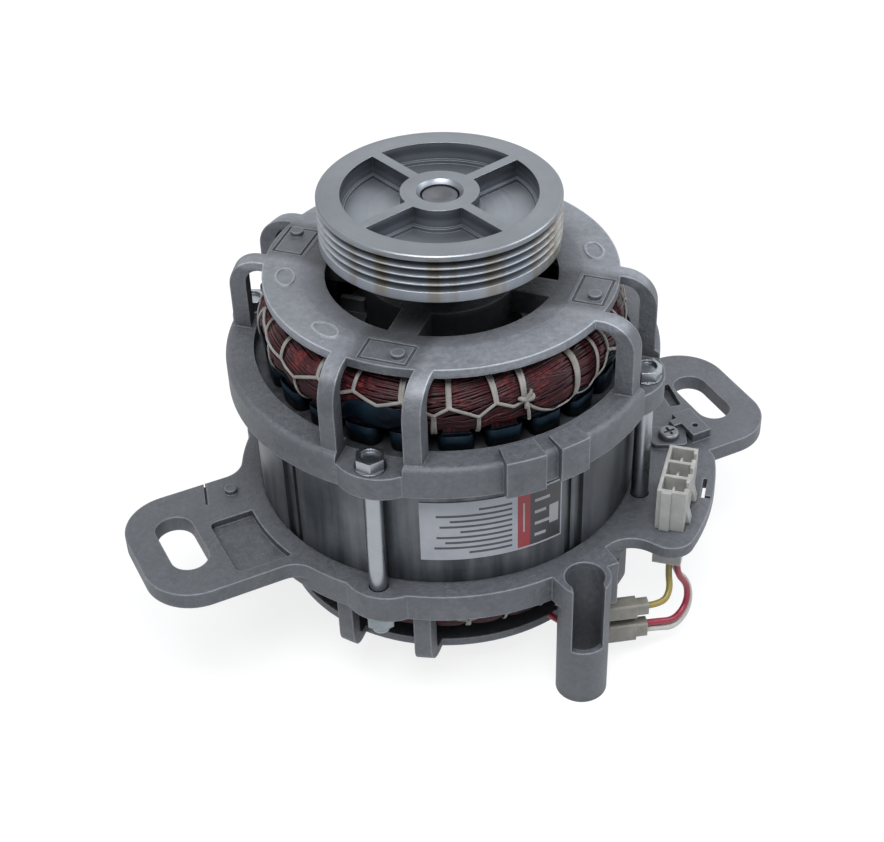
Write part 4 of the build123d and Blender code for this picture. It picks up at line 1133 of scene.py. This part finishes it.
def make_leads(yellow, red, white):
    bottom = connector_low / mm
    yellow_route = route((41.0, -57.9, bottom), (41.0, -57.9, -17.6), (40.2, -60.6, -21.4))
    yellow_route += cover_exit(yellow_cover_z, yellow_exit_run)
    lead("yellow_wire", "yellow_lead", yellow_route, yellow)
    red_route = route((42.8, -59.4, bottom), (42.8, -59.4, -17.3), (47.4, -59.0, -24.0),
                      (46.5, -60.5, -30.0), (41.2, -62.4, -32.5))
    red_route += cover_exit(red_cover_z, pair_exit_run, pair_spacing / 2)
    red_wire = lead("red_wire", "red_lead", red_route, red)
    white_route = route((43.6, -56.7, bottom), (43.6, -56.7, -18.4), (49.4, -56.8, -25.7),
                        (48.1, -59.8, -32.6), (41.4, -62.6, -35.1))
    white_route += cover_exit(red_cover_z, pair_exit_run, -pair_spacing / 2)
    white_wire = lead("white_wire", "white_lead", white_route, white)
    upper_route = [cover_point(yellow_cover_z, 0), cover_point(yellow_cover_z, -tail_exit_run)]
    upper_route += route((15.1, -55.4, -22.7), (10.6, -54.3, -21.4), (8.1, -51.3, -19.6))
    lead("upper_tail_wire", "upper_tail_lead", upper_route, white)
    lower_route = [cover_point(red_cover_z, 0), cover_point(red_cover_z, -tail_exit_run)]
    lower_route += route((15.5, -55.9, -31.0), (12.9, -55.3, -29.0), (8.7, -55.4, -25.2),
                         (5.4, -51.7, -22.8))
    lead("lower_tail_wire", "lower_tail_lead", lower_route, red)


# Label

def bent_patch(points, faces, radius, angle_from, angle_to, low, high):
    """Thin curved plate on the core, added to lists of points and faces."""
    steps = max(2, int(abs(angle_to - angle_from) / label_step) + 1)
    start = len(points)
    for level_r in (radius + label_proud, radius):
        for height in (low, high):
            for step in range(steps):
                angle = radians(angle_from + (angle_to - angle_from) * step / (steps - 1))
                points.append((level_r * cos(angle), level_r * sin(angle), height))
    strip_faces(faces, start, steps)


def label_field(name, fields, lift, material):
    """Plates on the label: first angle, last angle, lowest and highest share of its height."""
    low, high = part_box("rating_label")
    radius = max(Vector((v.co.x, v.co.y)).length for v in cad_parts["rating_label"].data.vertices)
    points = []
    faces = []
    for angle_from, angle_to, low_share, high_share in fields:
        bent_patch(points, faces, radius + lift, angle_from, angle_to,
                   low.z + (high.z - low.z) * low_share, low.z + (high.z - low.z) * high_share)
    piece = piece_from(name, points, faces, material)
    piece.data.shade_flat()


def make_label():
    paper = film("label_white", (0.29, 0.305, 0.34), (0.37, 0.385, 0.42))
    ink = film("label_grey_ink", (0.030, 0.032, 0.038), (0.05, 0.052, 0.060))
    red = film("label_red", (0.21, 0.010, 0.018), (0.30, 0.016, 0.026))
    black = film("label_black", (0.022, 0.023, 0.027), (0.035, 0.036, 0.042))
    pale = film("label_pale_bar", (0.27, 0.275, 0.29), (0.33, 0.335, 0.35))
    dress(paper, "rating_label")
    low, high = label_margin, 1 - label_margin
    label_field("label_red_field", [(label_red_from, label_black_from, low, high)], 0, red)
    label_field("label_black_field", [(label_black_from, label_black_to, low, high)], 0, black)
    bars = []
    width = label_red_from - label_edge
    start = label_red_from - width * bar_margin
    for row, length in enumerate(bar_lengths):
        low = bar_first + row * bar_pitch
        bars.append((start - width * bar_longest * length, start, low, low + bar_height))
    label_field("label_grey_bars", bars, 0, ink)
    label_field("label_pale_bars", label_marks, label_proud, pale)


# The object

bpy.context.scene.view_settings.view_transform = "Standard"
make_camera()

yellow_insulation = lead_insulation("yellow_insulation", (0.19, 0.15, 0.03), (0.30, 0.24, 0.05))
red_insulation = lead_insulation("red_insulation", (0.20, 0.008, 0.028), (0.30, 0.015, 0.042))
white_insulation = lead_insulation("white_insulation", (0.38, 0.37, 0.34), (0.48, 0.47, 0.43))
make_leads(yellow_insulation, red_insulation, white_insulation)

make_world()
make_floor()
for lamp_values in lamps:
    area_light(*lamp_values)

dress(cast_aluminium(), "upper_bracket", "lower_bracket")
dress(turned_aluminium(), "pulley")
dress(lamination_steel(), "stator_core")
dress(slot_wire(), "slot_conductors")
film_blue = insulation_film()
dress(film_blue, "slot_liners")
dress(threaded_zinc(), "through_bolts")
dress(zinc_plate(), "bolt_washers", "bolt_nuts")
dress(plain_steel("screw_steel", (0.15, 0.156, 0.17), (0.22, 0.228, 0.245), 0.42), "ground_screw")
dress(plain_steel("shaft_steel", (0.10, 0.105, 0.118), (0.16, 0.165, 0.18), 0.34), "shaft")
dress(plain_steel("rotor_steel", (0.05, 0.05, 0.055), (0.10, 0.10, 0.105), 0.38), "rotor_core")
dress(plain_steel("cast_cage", (0.12, 0.125, 0.135), (0.20, 0.205, 0.215), 0.42), "rotor_cage")
dress(plain_steel("bearing_steel", (0.52, 0.54, 0.57), (0.68, 0.69, 0.71), 0.16),
      "upper_bearing_outer_ring", "upper_bearing_inner_ring", "upper_bearing_balls",
      "lower_bearing_outer_ring", "lower_bearing_inner_ring", "lower_bearing_balls")
dress(plain_steel("shield_steel", (0.40, 0.41, 0.43), (0.55, 0.56, 0.58), 0.26),
      "upper_bearing_shields", "lower_bearing_shields")
dress(plain_steel("spring_steel", (0.16, 0.17, 0.20), (0.30, 0.31, 0.34), 0.25), "preload_washer")
dress(nylon("cage_nylon", (0.05, 0.055, 0.03), (0.09, 0.10, 0.06), 0.4 * mm),
      "upper_bearing_cage", "lower_bearing_cage")
dress(plain_steel("protector_case", (0.30, 0.30, 0.31), (0.45, 0.45, 0.46), 0.3), "thermal_protector")
dress(nylon("white_nylon", (0.31, 0.308, 0.296), (0.42, 0.415, 0.395), 2.4 * mm), "connector_housing")
dress(plain_steel("tinned_contact", (0.50, 0.49, 0.45), (0.66, 0.65, 0.60), 0.25), "connector_contacts")
dress(nylon("cover_nylon", (0.18, 0.172, 0.152), (0.28, 0.27, 0.24), 2.4 * mm),
      "yellow_terminal_cover", "red_terminal_cover")

copper = enamelled_copper()
cord_white = lacing_cord()
for side, seed in (("upper", 11), ("lower", 23)):
    make_winding(side, seed, copper, film_blue, cord_white)
make_label()
